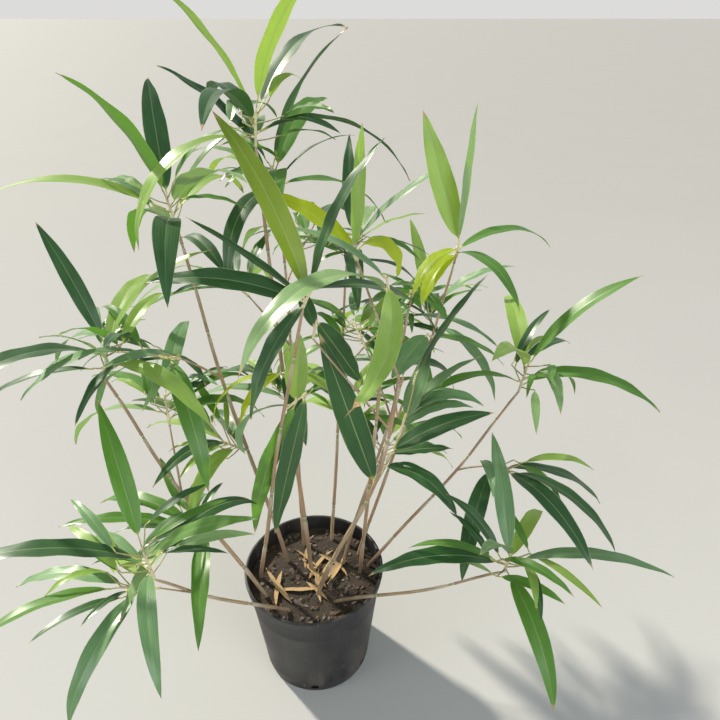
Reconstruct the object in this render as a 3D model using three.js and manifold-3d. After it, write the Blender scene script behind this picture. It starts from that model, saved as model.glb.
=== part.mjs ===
// A clump of large-leaved bamboo in a plain nursery pot.
// Millimetres, +Z up. The origin is the middle of the pot's flat underside, and -Y is the front.
import * as THREE from "three";
import { mergeVertices } from "three/addons/utils/BufferGeometryUtils.js";
import Module from "manifold-3d";

const wasm = await Module();
wasm.setup();

// The pot and the potting mix in it
const potHeight = 270;
const potFootRadius = 118;
const potMouthRadius = 146;
const potWall = 2.5;
const potFloor = 3;
const footChamfer = 3;
const rimDrop = 22;
const rimReach = 4;
const rimSlope = 1.5;
const rimChamfer = 1;
const drainRadius = 9;
const drainCount = 6;
const drainSides = 8;
const drainLength = 30;
const drainRise = 4;
const soilTop = 238;
const soilGap = 0.36;
const soilChamfer = 1;
const roundSides = 40;

// Limbs and masses keep this clear of each other, and solids are smoothed by less than the slack
const gap = 0.3;
const limbSleeve = 0.42;
const slack = 0.02;
const leastOverlap = 1e-4;

// Canes, boughs and stems taper to these shares of the radius at their foot
const caneTaper = 0.5;
const bowPower = 1.3;
const boughTaper = 0.6;
const stemTaper = 0.55;
const caneSteps = 9;
const caneSides = 6;
const boughSteps = 4;
const boughSides = 5;
const stemRadius = 2.3;
const stemSteps = 2;
const stemSides = 5;
const twigRadius = 1.6;

// A leaf is a keeled blade on a short stalk. Its width goes by two powers of the way along it
const leafSteps = 5;
const leafThickness = 0.0105;
const stalkShare = 0.04;
const stalkHalfWidth = 1.4;
const stalkThickness = 2.24;
const tipHalfWidth = 0.8;
const tipThickness = 0.5;
const rootPower = 0.6;
const tipPower = 0.92;
const widestAt = rootPower / (rootPower + tipPower);
const widest = widestAt ** rootPower * (1 - widestAt) ** tipPower;
const leastWidth = 0.04;
const droopPower = 1.25;

// Room that a leaf keeps to others and to the limbs, and how far it may be turned to find it.
// Rows of a blade are tested from the first one on, later where the other grows on the same limb
const testSteps = 8;
const firstRow = 2;
const firstRowByOwnLeaf = 4;
const firstRowByOwnLimb = 3;
const leafRoom = 7;
const limbRoom = 8;
const leafReach = 0.8;
const limbReach = 0.9;
const turns = [0, 12, -12, 24, -24, 36, -36];

const colours = {
  cane: { color: 0xa98f78, roughness: 0.55, metalness: 0 },
  deepLeaf: { color: 0x2f5a3c, roughness: 0.45, metalness: 0 },
  freshLeaf: { color: 0x7fa83a, roughness: 0.45, metalness: 0 },
  pot: { color: 0x1b1c1d, roughness: 0.6, metalness: 0 },
  soil: { color: 0x3a2a1e, roughness: 0.95, metalness: 0 },
};

// Canes: foot [x, y], top [x, y, z], sideways bow [x, y] and radius at the foot
const canes = {
  culm_a: { foot: [-118, -8], top: [13, -80, 922], bow: [-6, 0], radius: 4.0 },
  culm_c: { foot: [100, 6], top: [143, -60, 935], bow: [2, 0], radius: 3.8 },
  culm_d: { foot: [62, 30], top: [198, 135, 846], bow: [20, 0], radius: 3.4 },
  culm_e: { foot: [96, 56], top: [279, 158, 915], bow: [10, 0], radius: 3.6 },
  culm_f: { foot: [10, -52], top: [176, -16, 760], bow: [24, -8], radius: 4.6 },
  culm_h: { foot: [-62, 36], top: [-215, 100, 985], bow: [-10, 0], radius: 4.2 },
  culm_i: { foot: [-30, 82], top: [-60, 290, 1000], bow: [0, 10], radius: 4.2 },
  culm_j: { foot: [34, 98], top: [70, 330, 830], bow: [0, 10], radius: 3.8 },
  culm_k: { foot: [-98, -58], top: [-320, -70, 790], bow: [-15, 0], radius: 4.0 },
  culm_l: { foot: [-8, 14], top: [-80, 170, 1110], bow: [-6, 8], radius: 4.6 },
  culm_m: { foot: [-44, -92], top: [-235, -240, 510], bow: [0, -10], radius: 3.4 },
  culm_n: { foot: [44, -70], top: [350, -190, 470], bow: [0, -10], radius: 3.2 },
  culm_o: { foot: [116, 22], top: [405, 60, 680], bow: [12, 0], radius: 3.4 },
  culm_p: { foot: [66, 80], top: [270, 326, 668], bow: [0, 10], radius: 3.4 },
};

// Boughs: the cane, the share of its height, heading and rise in degrees, length and radius
const boughs = {
  bough_b: { on: "culm_f", at: 0.8, heading: 186, rise: 56, bend: 0, length: 236, radius: 2.0 },
  bough_d: { on: "culm_d", at: 0.6, heading: 116, rise: 46, bend: 8, length: 150, radius: 2.0 },
  bough_g: { on: "culm_f", at: 0.97, heading: 152, rise: 68, bend: 0, length: 232, radius: 2.4 },
  bough_h: { on: "culm_h", at: 0.62, heading: 240, rise: 48, bend: 8, length: 130, radius: 2.2 },
  bough_i: { on: "culm_i", at: 0.6, heading: 150, rise: 46, bend: 8, length: 140, radius: 2.2 },
  bough_j: { on: "culm_j", at: 0.62, heading: 30, rise: 44, bend: 8, length: 130, radius: 2.0 },
  bough_k: { on: "culm_k", at: 0.55, heading: 110, rise: 46, bend: 8, length: 130, radius: 2.0 },
  bough_l: { on: "culm_l", at: 0.66, heading: 70, rise: 40, bend: 8, length: 140, radius: 2.2 },
  bough_m: { on: "culm_m", at: 0.6, heading: 200, rise: 40, bend: 8, length: 110, radius: 1.8 },
  bough_o: { on: "culm_o", at: 0.6, heading: 300, rise: 44, bend: 8, length: 110, radius: 1.8 },
  bough_p: { on: "culm_p", at: 0.6, heading: 95, rise: 44, bend: 8, length: 110, radius: 1.8 },
};

// Front sprays, whose leaves are placed one by one. Each leaf is
// [share of the stem, heading, rise, bend, length, width, sweep, roll], angles in degrees.
const frontSprays = {
  spray_a: {
    on: "culm_a", at: 1, heading: 40, rise: 62, bend: 20, length: 34,
    leaves: [
      [0.95, 22, 4, 78, 285, 42, 0, 0],
      [0.8, 23, 77, 36, 250, 32, 0, 4],
      [0.6, 137, 66, 34, 320, 42, 0, -10],
      [0.3, 178, 24, 40, 250, 40, 0, -30],
      [0.2, 236, -18, 60, 200, 40, 0, 10],
      [0.4, 163, 36, 12, 220, 24, 0, 4],
    ],
  },
  spray_a2: {
    on: "culm_a", at: 0.7, heading: 38, rise: 20, bend: 0, length: 52,
    leaves: [
      [0.55, 184, -64, 19, 340, 42, -17, 54],
      [0.95, 186, -76, 2, 350, 46, -14, 60],
      [0.3, 176, 0, 116, 175, 34, 0, 30],
      [0.5, 75, 74, 10, 120, 44, 0, 0],
    ],
  },
  spray_b: {
    on: "bough_b", at: 1, heading: 80, rise: 44, bend: 0, length: 36,
    leaves: [
      [0.9, 24, -59, 2, 165, 44, 0, 68],
      [0.5, 120, 50, 20, 85, 26, 0, 0],
    ],
  },
  spray_c: {
    on: "culm_c", at: 1, heading: 100, rise: 75, bend: 0, length: 30,
    leaves: [
      [0.2, 231, 43, 111, 340, 46, -10, 8],
      [0.8, 161, 40, 72, 265, 32, -5, 3],
      [0.6, 292, -53, -13, 229, 41, -99, 0],
    ],
  },
  spray_e: {
    on: "culm_e", at: 1, heading: 60, rise: 75, bend: 0, length: 34,
    leaves: [
      [0.9, 132, 64, 0, 240, 46, 0, -40],
      [0.8, 61, 83, 4, 240, 30, 0, 86],
      [0.5, 214, 4, 74, 140, 32, 17, 0],
      [0.2, 221, -8, 66, 130, 36, 12, 6],
      [0.4, 20, 30, 80, 230, 34, 0, 0],
      [0.3, 300, 20, 80, 200, 32, 0, 0],
    ],
  },
  spray_e2: {
    on: "culm_e", at: 0.77, heading: 230, rise: 40, bend: 0, length: 26,
    leaves: [
      [0.9, 228, -15, 19, 125, 46, 5, -16],
      [0.4, 345, 10, 60, 160, 30, 0, 0],
    ],
  },
  spray_d: {
    on: "culm_d", at: 1, heading: 20, rise: 70, bend: 0, length: 30,
    leaves: [
      [0.9, 345, -32, 30, 84, 30, 0, 0],
      [0.5, 328, -12, 50, 90, 30, 0, 0],
      [0.7, 130, -5, 50, 120, 28, 0, 0],
      [0.3, 205, 4, 80, 120, 30, 0, 0],
      [0.4, 170, 0, 90, 150, 32, 0, 0],
      [0.9, 80, -20, 40, 110, 28, 0, 0],
    ],
  },
  spray_f: {
    on: "culm_f", at: 0.56, heading: 11, rise: 64, bend: -22, length: 262,
    leaves: [
      [0.04, 172, 73, 0, 332, 52, 0, -76],
      [0.22, 325, 24, 74, 178, 36, -12, 5],
      [0.33, 1, 14, 20, 116, 30, 0, 0],
      [0.35, 355, 44, 34, 205, 38, 0, 28],
      [0.56, 358, 56, 66, 145, 30, -19, 16],
      [0.66, 7, 52, 84, 155, 30, -31, 12],
      [0.64, 12, 60, 33, 180, 34, -21, 6],
      [0.64, 18, 72, 0, 144, 38, 0, 26],
      [0.98, 16, 65, 20, 210, 24, 0, -12],
    ],
  },
  spray_g: {
    on: "bough_g", at: 1, heading: 120, rise: 60, bend: 0, length: 20,
    leaves: [
      [0.9, 160, 43, 39, 180, 40, -6, -12],
      [0.6, 330, 60, 184, 132, 38, 0, 8],
      [0.9, 80, 74, 12, 200, 34, 0, 60],
    ],
  },
  spray_l3: {
    on: "culm_l", at: 0.52, heading: 270, rise: 40, bend: 0, length: 40,
    leaves: [
      [0.9, 338, 14, 74, 160, 26, 0, 0],
      [0.8, 222, 0, 84, 140, 28, 0, 0],
      [0.6, 196, 14, 110, 200, 28, 0, 20],
      [0.5, 300, -30, 44, 150, 34, 0, 0],
      [0.4, 20, 46, 40, 120, 30, 0, 0],
    ],
  },
};

// Sprays at the canes' tips and at the boughs' tips, whose leaves follow the seeded rule:
// seed, count and usual length of the leaves
const tipSprays = {
  h: [21, 7, 270],
  i: [34, 7, 270],
  j: [52, 7, 250],
  k: [58, 7, 250],
  l: [63, 8, 280],
  m: [72, 6, 230],
  n: [91, 6, 220],
  o: [108, 6, 240],
  p: [126, 6, 230],
};
const sideSprays = {
  d: [243, 5, 220],
  h: [121, 5, 240],
  i: [134, 5, 250],
  j: [167, 5, 240],
  k: [158, 5, 240],
  l: [168, 5, 250],
  m: [172, 4, 220],
  o: [232, 4, 220],
  p: [210, 5, 230],
};
// Low sprays straight on a cane: its letter, the share of its height, the heading, and as above
const lowSprays = {
  h: [0.4, 196, 311, 5, 200],
  i: [0.42, 110, 322, 5, 230],
  j: [0.44, 62, 333, 5, 220],
  k: [0.36, 205, 344, 5, 220],
  p: [0.4, 66, 376, 5, 200],
};
const tipStem = { rise: 74, bend: 0, length: 60 };
const sideStem = { drop: 16, bend: 0, length: 70 };
const lowStem = { rise: 34, bend: 0, length: 60 };
const headingFactor = 7;

// The seeded rule. A gain goes with the leaf's share of the way up the stem, and a draw is the
// most that chance adds or takes away. Angles are in degrees.
const tipRule = {
  turn: 137.5, turnDraw: 14,
  rise: 10, riseGain: 62, risePower: 1.3, riseDraw: 10,
  bend: 96, bendGain: -66, bendDraw: 18,
};
const sideRule = {
  turn: 82, turnGain: -74, turnDraw: 10,
  stemRise: 0.5, rise: -8, riseGain: 26, riseDraw: 14,
  bend: 92, bendGain: -30, bendDraw: 22,
};
const leafRule = {
  first: 0.12, span: 0.86,
  length: 0.94, swell: 0.12, lengthDraw: 0.1,
  width: 0.145, widthDraw: 0.12,
  sweepDraw: 14, rollDraw: 16, twig: 16, twigDraw: 8,
};
const seedFactor = 7919;
const drawFactor = 16807;
const drawModulus = 2147483647;
const drawsSkipped = 3;

function direction(heading, rise) {
  const h = THREE.MathUtils.degToRad(heading);
  const r = THREE.MathUtils.degToRad(rise);
  return new THREE.Vector3(Math.cos(r) * Math.cos(h), Math.cos(r) * Math.sin(h), Math.sin(r));
}

// A line of equal steps that starts at a heading and rise, comes down by bend and turns by sweep
function arc(start, shape, steps) {
  const sweep = shape.sweep ?? 0;
  const points = [start.clone()];
  for (let k = 0; k < steps; k++) {
    const t = (k + 0.5) / steps;
    const rise = shape.rise - shape.bend * t ** droopPower;
    const step = direction(shape.heading + sweep * t, rise).multiplyScalar(shape.length / steps);
    points.push(points.at(-1).clone().add(step));
  }
  return points;
}

function caneLine(cane) {
  const points = [];
  for (let k = 0; k <= caneSteps; k++) {
    const t = k / caneSteps;
    const bow = Math.sin(Math.PI * t ** bowPower) ** 2;
    const x = THREE.MathUtils.lerp(cane.foot[0], cane.top[0], t) + cane.bow[0] * bow;
    const y = THREE.MathUtils.lerp(cane.foot[1], cane.top[1], t) + cane.bow[1] * bow;
    const z = THREE.MathUtils.lerp(soilTop + gap, cane.top[2], t);
    points.push(new THREE.Vector3(x, y, z));
  }
  return points;
}

function along(line, share) {
  const lengths = [0];
  for (let k = 1; k < line.length; k++) {
    lengths.push(lengths[k - 1] + line[k].distanceTo(line[k - 1]));
  }
  const wanted = share * lengths.at(-1);
  let k = 1;
  while (k < line.length - 1 && lengths[k] < wanted) {
    k++;
  }
  const part = (wanted - lengths[k - 1]) / (lengths[k] - lengths[k - 1]);
  return line[k - 1].clone().lerp(line[k], part);
}

// The same line with its last point moved on by the gap
function pastTip(line) {
  const way = line.at(-1).clone().sub(line.at(-2)).normalize();
  return [...line.slice(0, -1), line.at(-1).clone().addScaledVector(way, gap)];
}

function tangents(line) {
  return line.map((point, k) => {
    const before = line[Math.max(k - 1, 0)];
    const after = line[Math.min(k + 1, line.length - 1)];
    return after.clone().sub(before).normalize();
  });
}

// How far the diagonal a to c of a quad a, b, c, d lies outside its other diagonal, up to a scale
function bulge(a, b, c, d) {
  const outward = c.clone().sub(a).cross(d.clone().sub(b));
  return a.clone().add(c).sub(b).sub(d).dot(outward);
}

// A closed body through rings of points, each ring counterclockwise when looked back at. Each
// quad is cut along its outer diagonal, so that the sides of a twisted blade never cross
function loft(rings) {
  const count = rings[0].length;
  const points = rings.flat();
  const positions = points.flatMap((point) => point.toArray());
  const index = [];
  for (let i = 0; i + 1 < rings.length; i++) {
    for (let j = 0; j < count; j++) {
      const a = i * count + j;
      const b = i * count + ((j + 1) % count);
      const quad = [a, b, b + count, a + count];
      const [p, q, r, s] = quad;
      if (bulge(...quad.map((k) => points[k])) < 0) {
        index.push(p, q, s, q, r, s);
      } else {
        index.push(p, q, r, p, r, s);
      }
    }
  }
  const last = (rings.length - 1) * count;
  for (let j = 1; j + 1 < count; j++) {
    index.push(0, j + 1, j);
    index.push(last, last + j, last + j + 1);
  }
  const geometry = new THREE.BufferGeometry();
  geometry.setAttribute("position", new THREE.Float32BufferAttribute(positions, 3));
  geometry.setIndex(index);
  return geometry;
}

function toSolid(geometry) {
  const bare = geometry.clone();
  bare.deleteAttribute("normal");
  bare.deleteAttribute("uv");
  const merged = mergeVertices(bare, 1e-4);
  const vertProperties = new Float32Array(merged.getAttribute("position").array);
  const triVerts = new Uint32Array(merged.getIndex().array);
  return new wasm.Manifold(new wasm.Mesh({ numProp: 3, vertProperties, triVerts }));
}

function toGeometry(solid) {
  const mesh = solid.getMesh();
  const geometry = new THREE.BufferGeometry();
  geometry.setAttribute("position", new THREE.Float32BufferAttribute(mesh.vertProperties, 3));
  geometry.setIndex(Array.from(mesh.triVerts));
  geometry.computeVertexNormals();
  return geometry;
}

// The largest body of a solid, so that loose scraps and sealed hollows are gone
function wholeBody(solid) {
  const bodies = solid.decompose();
  const best = bodies.reduce((most, body) => (body.volume() > most.volume() ? body : most));
  return best.asOriginal().simplify(slack);
}

// A round limb along a line, tapering evenly, with its foot cut level when flatFoot is set
function limb(line, radius, taper, sides, flatFoot = false) {
  const ways = tangents(line);
  let side = new THREE.Vector3(1, 0, 0);
  const rings = line.map((point, k) => {
    const way = ways[k];
    side = side.clone().addScaledVector(way, -side.dot(way)).normalize();
    const across = way.clone().cross(side);
    const r = radius * THREE.MathUtils.lerp(1, taper, k / (line.length - 1));
    const ring = [];
    for (let j = 0; j < sides; j++) {
      const angle = (2 * Math.PI * j) / sides;
      const corner = point.clone();
      corner.addScaledVector(side, r * Math.cos(angle));
      corner.addScaledVector(across, r * Math.sin(angle));
      if (flatFoot && k === 0) {
        corner.addScaledVector(way, (point.z - corner.z) / way.z);
      }
      ring.push(corner);
    }
    return ring;
  });
  return loft(rings);
}

// Half width of a blade as a share of its widest, from the stalk's root to the tip
function bladeWidth(t) {
  const u = Math.max(0, (t - stalkShare) / (1 - stalkShare));
  return Math.max(leastWidth, (u ** rootPower * (1 - u) ** tipPower) / widest);
}

// Where a blade lies: its midrib with the side way, the face's normal and the half width there
function leafFrame(start, leaf, steps) {
  const midrib = arc(start, leaf, steps);
  const ways = tangents(midrib);
  const roll = THREE.MathUtils.degToRad(leaf.roll);
  return midrib.map((point, k) => {
    const t = k / steps;
    const heading = THREE.MathUtils.degToRad(leaf.heading + leaf.sweep * t);
    const level = new THREE.Vector3(-Math.sin(heading), Math.cos(heading), 0);
    const upright = ways[k].clone().cross(level).normalize();
    const side = level.multiplyScalar(Math.cos(roll)).addScaledVector(upright, Math.sin(roll));
    const normal = ways[k].clone().cross(side).normalize();
    return { point, side, normal, half: (leaf.width / 2) * bladeWidth(t) };
  });
}

// A keeled blade on its twig: each ring goes from the underside's keel to one edge and the other
function bladeRing(row, half, deep) {
  return [
    row.point.clone().addScaledVector(row.normal, -deep),
    row.point.clone().addScaledVector(row.side, half),
    row.point.clone().addScaledVector(row.side, -half),
  ];
}

function blade(start, root, leaf) {
  const thick = Math.max(leaf.length * leafThickness, stalkThickness);
  const rows = leafFrame(root, leaf, leafSteps);
  const rings = rows.map((row, k) => {
    const half = Math.max(row.half, k === 0 ? stalkHalfWidth : tipHalfWidth);
    return bladeRing(row, half, thick * (k === leafSteps ? tipThickness : 1));
  });
  if (leaf.twig > 0) {
    rings.unshift(bladeRing({ ...rows[0], point: start }, twigRadius, thick));
  }
  return loft(rings);
}

function seededDraws(seed) {
  let state = seed * seedFactor;
  const next = () => {
    state = (state * drawFactor) % drawModulus;
    return state / drawModulus;
  };
  for (let k = 0; k < drawsSkipped; k++) {
    next();
  }
  return (reach) => reach * (2 * next() - 1);
}

// The seeded rule: leaves wind up a tip stem all round, and alternate on a side stem
function ruleLeaves(spray) {
  const draw = seededDraws(spray.seed);
  const leaves = [];
  for (let k = 0; k < spray.count; k++) {
    const share = (k + 0.5) / spray.count;
    const leaf = { at: leafRule.first + leafRule.span * share };
    const rule = spray.kind === "tip" ? tipRule : sideRule;
    if (spray.kind === "tip") {
      leaf.heading = spray.heading + rule.turn * k + draw(rule.turnDraw);
      leaf.rise = rule.rise + rule.riseGain * share ** rule.risePower + draw(rule.riseDraw);
    } else {
      const turn = (k % 2 ? 1 : -1) * (rule.turn + rule.turnGain * share);
      leaf.heading = spray.heading + turn + draw(rule.turnDraw);
      leaf.rise = spray.rise * rule.stemRise + rule.rise + rule.riseGain * share;
      leaf.rise += draw(rule.riseDraw);
    }
    leaf.bend = rule.bend + rule.bendGain * share + draw(rule.bendDraw);
    const swell = leafRule.length + leafRule.swell * Math.sin(Math.PI * share);
    leaf.length = spray.leaf * (swell + draw(leafRule.lengthDraw));
    leaf.width = leaf.length * leafRule.width * (1 + draw(leafRule.widthDraw));
    leaf.sweep = draw(leafRule.sweepDraw);
    leaf.roll = draw(leafRule.rollDraw);
    leaf.twig = leafRule.twig + draw(leafRule.twigDraw);
    leaves.push(leaf);
  }
  return leaves;
}

function placedLeaves(rows) {
  return rows.map(([at, heading, rise, bend, length, width, sweep, roll]) => {
    return { at, heading, rise, bend, length, width, sweep, roll, twig: 0 };
  });
}

function allSprays() {
  const sprays = {};
  for (const [name, spray] of Object.entries(frontSprays)) {
    sprays[name] = { ...spray, leaves: placedLeaves(spray.leaves) };
  }
  for (const [letter, [seed, count, leaf]] of Object.entries(tipSprays)) {
    const heading = (seed * headingFactor) % 360;
    const spray = { on: `culm_${letter}`, at: 1, kind: "tip", heading };
    sprays[`spray_${letter}`] = { ...spray, ...tipStem, seed, count, leaf };
  }
  for (const [letter, [seed, count, leaf]] of Object.entries(sideSprays)) {
    const bough = boughs[`bough_${letter}`];
    const spray = { on: `bough_${letter}`, at: 1, kind: "side", heading: bough.heading };
    const rise = bough.rise - sideStem.drop;
    sprays[`spray_${letter}2`] = { ...spray, ...sideStem, rise, seed, count, leaf };
  }
  for (const [letter, [at, heading, seed, count, leaf]] of Object.entries(lowSprays)) {
    const spray = { on: `culm_${letter}`, at, kind: "side", heading };
    sprays[`spray_${letter}3`] = { ...spray, ...lowStem, seed, count, leaf };
  }
  return sprays;
}

function distanceToLine(point, line) {
  let best = null;
  for (let k = 1; k < line.length; k++) {
    const nearest = new THREE.Vector3();
    new THREE.Line3(line[k - 1], line[k]).closestPointToPoint(point, true, nearest);
    const offset = nearest.sub(point);
    if (best === null || offset.length() < best.length()) {
      best = offset;
    }
  }
  return best;
}

// True where a blade keeps its room to the blades placed before it and to every limb
function hasRoom(rows, own, placed, limbLines) {
  for (let k = firstRow; k < rows.length; k++) {
    const { point, normal, half } = rows[k];
    for (const other of placed) {
      if (other.own === own && k < firstRowByOwnLeaf) {
        continue;
      }
      const offset = other.point.clone().sub(point);
      const apart = Math.min(Math.abs(offset.dot(normal)), Math.abs(offset.dot(other.normal)));
      if (offset.length() < leafReach * (half + other.half) && apart < leafRoom) {
        return false;
      }
    }
    for (const [name, line] of Object.entries(limbLines)) {
      if (name === own && k < firstRowByOwnLimb) {
        continue;
      }
      const offset = distanceToLine(point, line);
      const near = offset.length() < half * limbReach + leafRoom;
      if (near && Math.abs(offset.dot(normal)) < limbRoom) {
        return false;
      }
    }
  }
  return true;
}

function overlaps(solid, others) {
  const box = solid.boundingBox();
  return others.some((other) => {
    const apart = [0, 1, 2].some((axis) => {
      return other.box.min[axis] > box.max[axis] || other.box.max[axis] < box.min[axis];
    });
    return !apart && solid.intersect(other.solid).volume() > leastOverlap;
  });
}

function boxed(solid) {
  return { solid, box: solid.boundingBox() };
}

function addMesh(group, name, geometry, finish) {
  const mesh = new THREE.Mesh(geometry, new THREE.MeshStandardMaterial(finish));
  mesh.name = name;
  group.add(mesh);
}

// The pot's outline goes up the outside, over the rim and down the inside to the floor
function potGeometry() {
  const atRim = THREE.MathUtils.lerp(potFootRadius, potMouthRadius, 1 - rimDrop / potHeight);
  const outline = [
    [0, 0],
    [potFootRadius - footChamfer, 0],
    [potFootRadius, footChamfer],
    [atRim, potHeight - rimDrop],
    [atRim + rimReach, potHeight - rimDrop + rimSlope],
    [potMouthRadius + rimReach, potHeight - rimChamfer],
    [potMouthRadius + rimReach - rimChamfer, potHeight],
    [potMouthRadius - potWall + rimChamfer, potHeight],
    [potMouthRadius - potWall, potHeight - rimChamfer],
    [potFootRadius - potWall, potFloor],
    [0, potFloor],
  ].map(([r, z]) => new THREE.Vector2(r, z));
  return new THREE.LatheGeometry(outline, roundSides).rotateX(Math.PI / 2);
}

// Drain holes through the wall, low down and even round the pot
function drainCutter(k) {
  const cutter = new THREE.CylinderGeometry(drainRadius, drainRadius, drainLength, drainSides);
  cutter.translate(0, potFootRadius, 0);
  cutter.rotateZ((2 * Math.PI * k) / drainCount);
  cutter.translate(0, 0, potFloor + drainRadius + drainRise);
  return cutter;
}

function makePot() {
  let pot = toSolid(potGeometry());
  for (let k = 0; k < drainCount; k++) {
    pot = pot.subtract(toSolid(drainCutter(k)));
  }
  return toGeometry(wholeBody(pot));
}

function makeSoil() {
  const innerRadius = (z) => {
    const share = (z - potFloor) / (potHeight - rimChamfer - potFloor);
    return THREE.MathUtils.lerp(potFootRadius, potMouthRadius, share) - potWall - soilGap;
  };
  const foot = potFloor + gap;
  const outline = [
    [0, foot],
    [innerRadius(foot) - soilChamfer, foot],
    [innerRadius(foot + soilChamfer), foot + soilChamfer],
    [innerRadius(soilTop), soilTop],
    [0, soilTop],
  ].map(([r, z]) => new THREE.Vector2(r, z));
  return new THREE.LatheGeometry(outline, roundSides).rotateX(Math.PI / 2);
}

const group = new THREE.Group();
addMesh(group, "pot", makePot(), colours.pot);
addMesh(group, "potting_mix", makeSoil(), colours.soil);

const lines = {};
const limbs = [];
const sleeves = {};

function keepLimb(name, solid, sleeve) {
  limbs.push({ name, ...boxed(solid) });
  sleeves[name] = sleeve;
  addMesh(group, name, toGeometry(solid), colours.cane);
}

for (const [name, cane] of Object.entries(canes)) {
  const line = caneLine(cane);
  lines[name] = line;
  const solid = toSolid(limb(line, cane.radius, caneTaper, caneSides, true));
  const sleeve = limb(pastTip(line), cane.radius + limbSleeve, caneTaper, caneSides);
  keepLimb(name, solid, toSolid(sleeve));
}

for (const [name, bough] of Object.entries(boughs)) {
  const line = arc(along(lines[bough.on], bough.at), bough, boughSteps);
  lines[name] = line;
  const whole = toSolid(limb(line, bough.radius, boughTaper, boughSides));
  const solid = wholeBody(whole.subtract(sleeves[bough.on]));
  const sleeve = limb(pastTip(line), bough.radius + limbSleeve, boughTaper, boughSides);
  keepLimb(name, solid, toSolid(sleeve));
}

// One mass of leaves: a stem, twigs and blades fused, then cut clear of the limbs beside it
const placed = [];
const masses = [];

function makeMass(name, spray) {
  const stemLine = arc(along(lines[spray.on], spray.at), spray, stemSteps);
  const otherLimbs = limbs.filter((other) => other.name !== spray.on);
  const parts = [toSolid(limb(stemLine, stemRadius, stemTaper, stemSides))];
  for (const leaf of spray.leaves ?? ruleLeaves(spray)) {
    const start = along(stemLine, leaf.at);
    for (const turn of turns) {
      const turned = { ...leaf, heading: leaf.heading + turn };
      const twig = direction(turned.heading, turned.rise).multiplyScalar(leaf.twig);
      const root = start.clone().add(twig);
      const rows = leafFrame(root, turned, testSteps);
      if (!spray.leaves && !hasRoom(rows, spray.on, placed, lines)) {
        continue;
      }
      const bladeSolid = toSolid(blade(start, root, turned));
      if (overlaps(bladeSolid, [...otherLimbs, ...masses])) {
        continue;
      }
      parts.push(bladeSolid);
      placed.push(...rows.slice(firstRow).map((row) => ({ ...row, own: spray.on })));
      break;
    }
  }
  let solid = parts.reduce((whole, part) => whole.add(part));
  for (const sleeve of Object.values(sleeves)) {
    solid = solid.subtract(sleeve);
  }
  for (const mass of masses) {
    solid = solid.subtract(mass.solid);
  }
  solid = wholeBody(solid);
  masses.push(boxed(solid));
  const finish = masses.length % 2 ? colours.deepLeaf : colours.freshLeaf;
  addMesh(group, name, toGeometry(solid), finish);
}

for (const [name, spray] of Object.entries(allSprays())) {
  makeMass(name, spray);
}

export default group;
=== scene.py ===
# A clump of large-leaved bamboo in a black nursery pot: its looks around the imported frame.
# The scene is in metres, +Z up. The plant's tables are in millimetres, as its source is.
import math
import random

import bpy
import numpy as np
from mathutils import Euler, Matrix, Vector, noise
from mathutils.bvhtree import BVHTree


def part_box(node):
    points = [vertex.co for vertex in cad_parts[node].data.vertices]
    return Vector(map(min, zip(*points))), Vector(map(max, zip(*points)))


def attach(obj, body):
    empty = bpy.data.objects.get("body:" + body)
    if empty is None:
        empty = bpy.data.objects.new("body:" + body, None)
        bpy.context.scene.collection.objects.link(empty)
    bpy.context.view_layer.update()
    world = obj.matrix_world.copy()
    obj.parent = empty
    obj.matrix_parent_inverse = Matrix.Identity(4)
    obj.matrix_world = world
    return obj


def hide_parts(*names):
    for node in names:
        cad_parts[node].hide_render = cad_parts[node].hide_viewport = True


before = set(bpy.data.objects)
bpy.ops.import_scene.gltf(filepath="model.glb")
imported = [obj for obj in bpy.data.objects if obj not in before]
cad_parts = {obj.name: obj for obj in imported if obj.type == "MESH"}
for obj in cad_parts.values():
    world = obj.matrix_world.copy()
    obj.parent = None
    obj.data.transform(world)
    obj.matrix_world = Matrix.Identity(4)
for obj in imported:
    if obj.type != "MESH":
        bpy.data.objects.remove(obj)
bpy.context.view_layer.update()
mm = 0.001
print("frame loaded:", len(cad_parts), "nodes")


def addObject(name, data):
    made = bpy.data.objects.new(name, data)
    bpy.context.scene.collection.objects.link(made)
    return made


def newMesh(name, points, faces, *finishes):
    mesh = bpy.data.meshes.new(name)
    mesh.from_pydata(points, [], faces)
    for finish in finishes:
        mesh.materials.append(finish)
    return mesh


def shade(mesh, smooth=True):
    mesh.polygons.foreach_set("use_smooth", [smooth] * len(mesh.polygons))


def circle(radius, count):
    for k in range(count):
        angle = 2 * math.pi * k / count
        yield radius * math.cos(angle), radius * math.sin(angle)


# Camera: near and looking down into the clump, as the photograph does
photoView = {
    "target": (0.100, 0.0, 0.785), "distance": 1.05, "pitch": 30.0, "lens": 30.0, "sensor": 36.0,
    "near": 0.02, "far": 400,
}


def makeCamera():
    pitch = math.radians(photoView["pitch"])
    ahead = Vector((0, math.cos(pitch), -math.sin(pitch)))
    data = bpy.data.cameras.new("camera")
    data.lens = photoView["lens"]
    data.sensor_width = photoView["sensor"]
    data.clip_start = photoView["near"]
    data.clip_end = photoView["far"]
    camera = addObject("camera", data)
    camera.location = Vector(photoView["target"]) - ahead * photoView["distance"]
    camera.rotation_euler = (math.pi / 2 - pitch, 0, 0)
    bpy.context.scene.camera = camera


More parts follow.
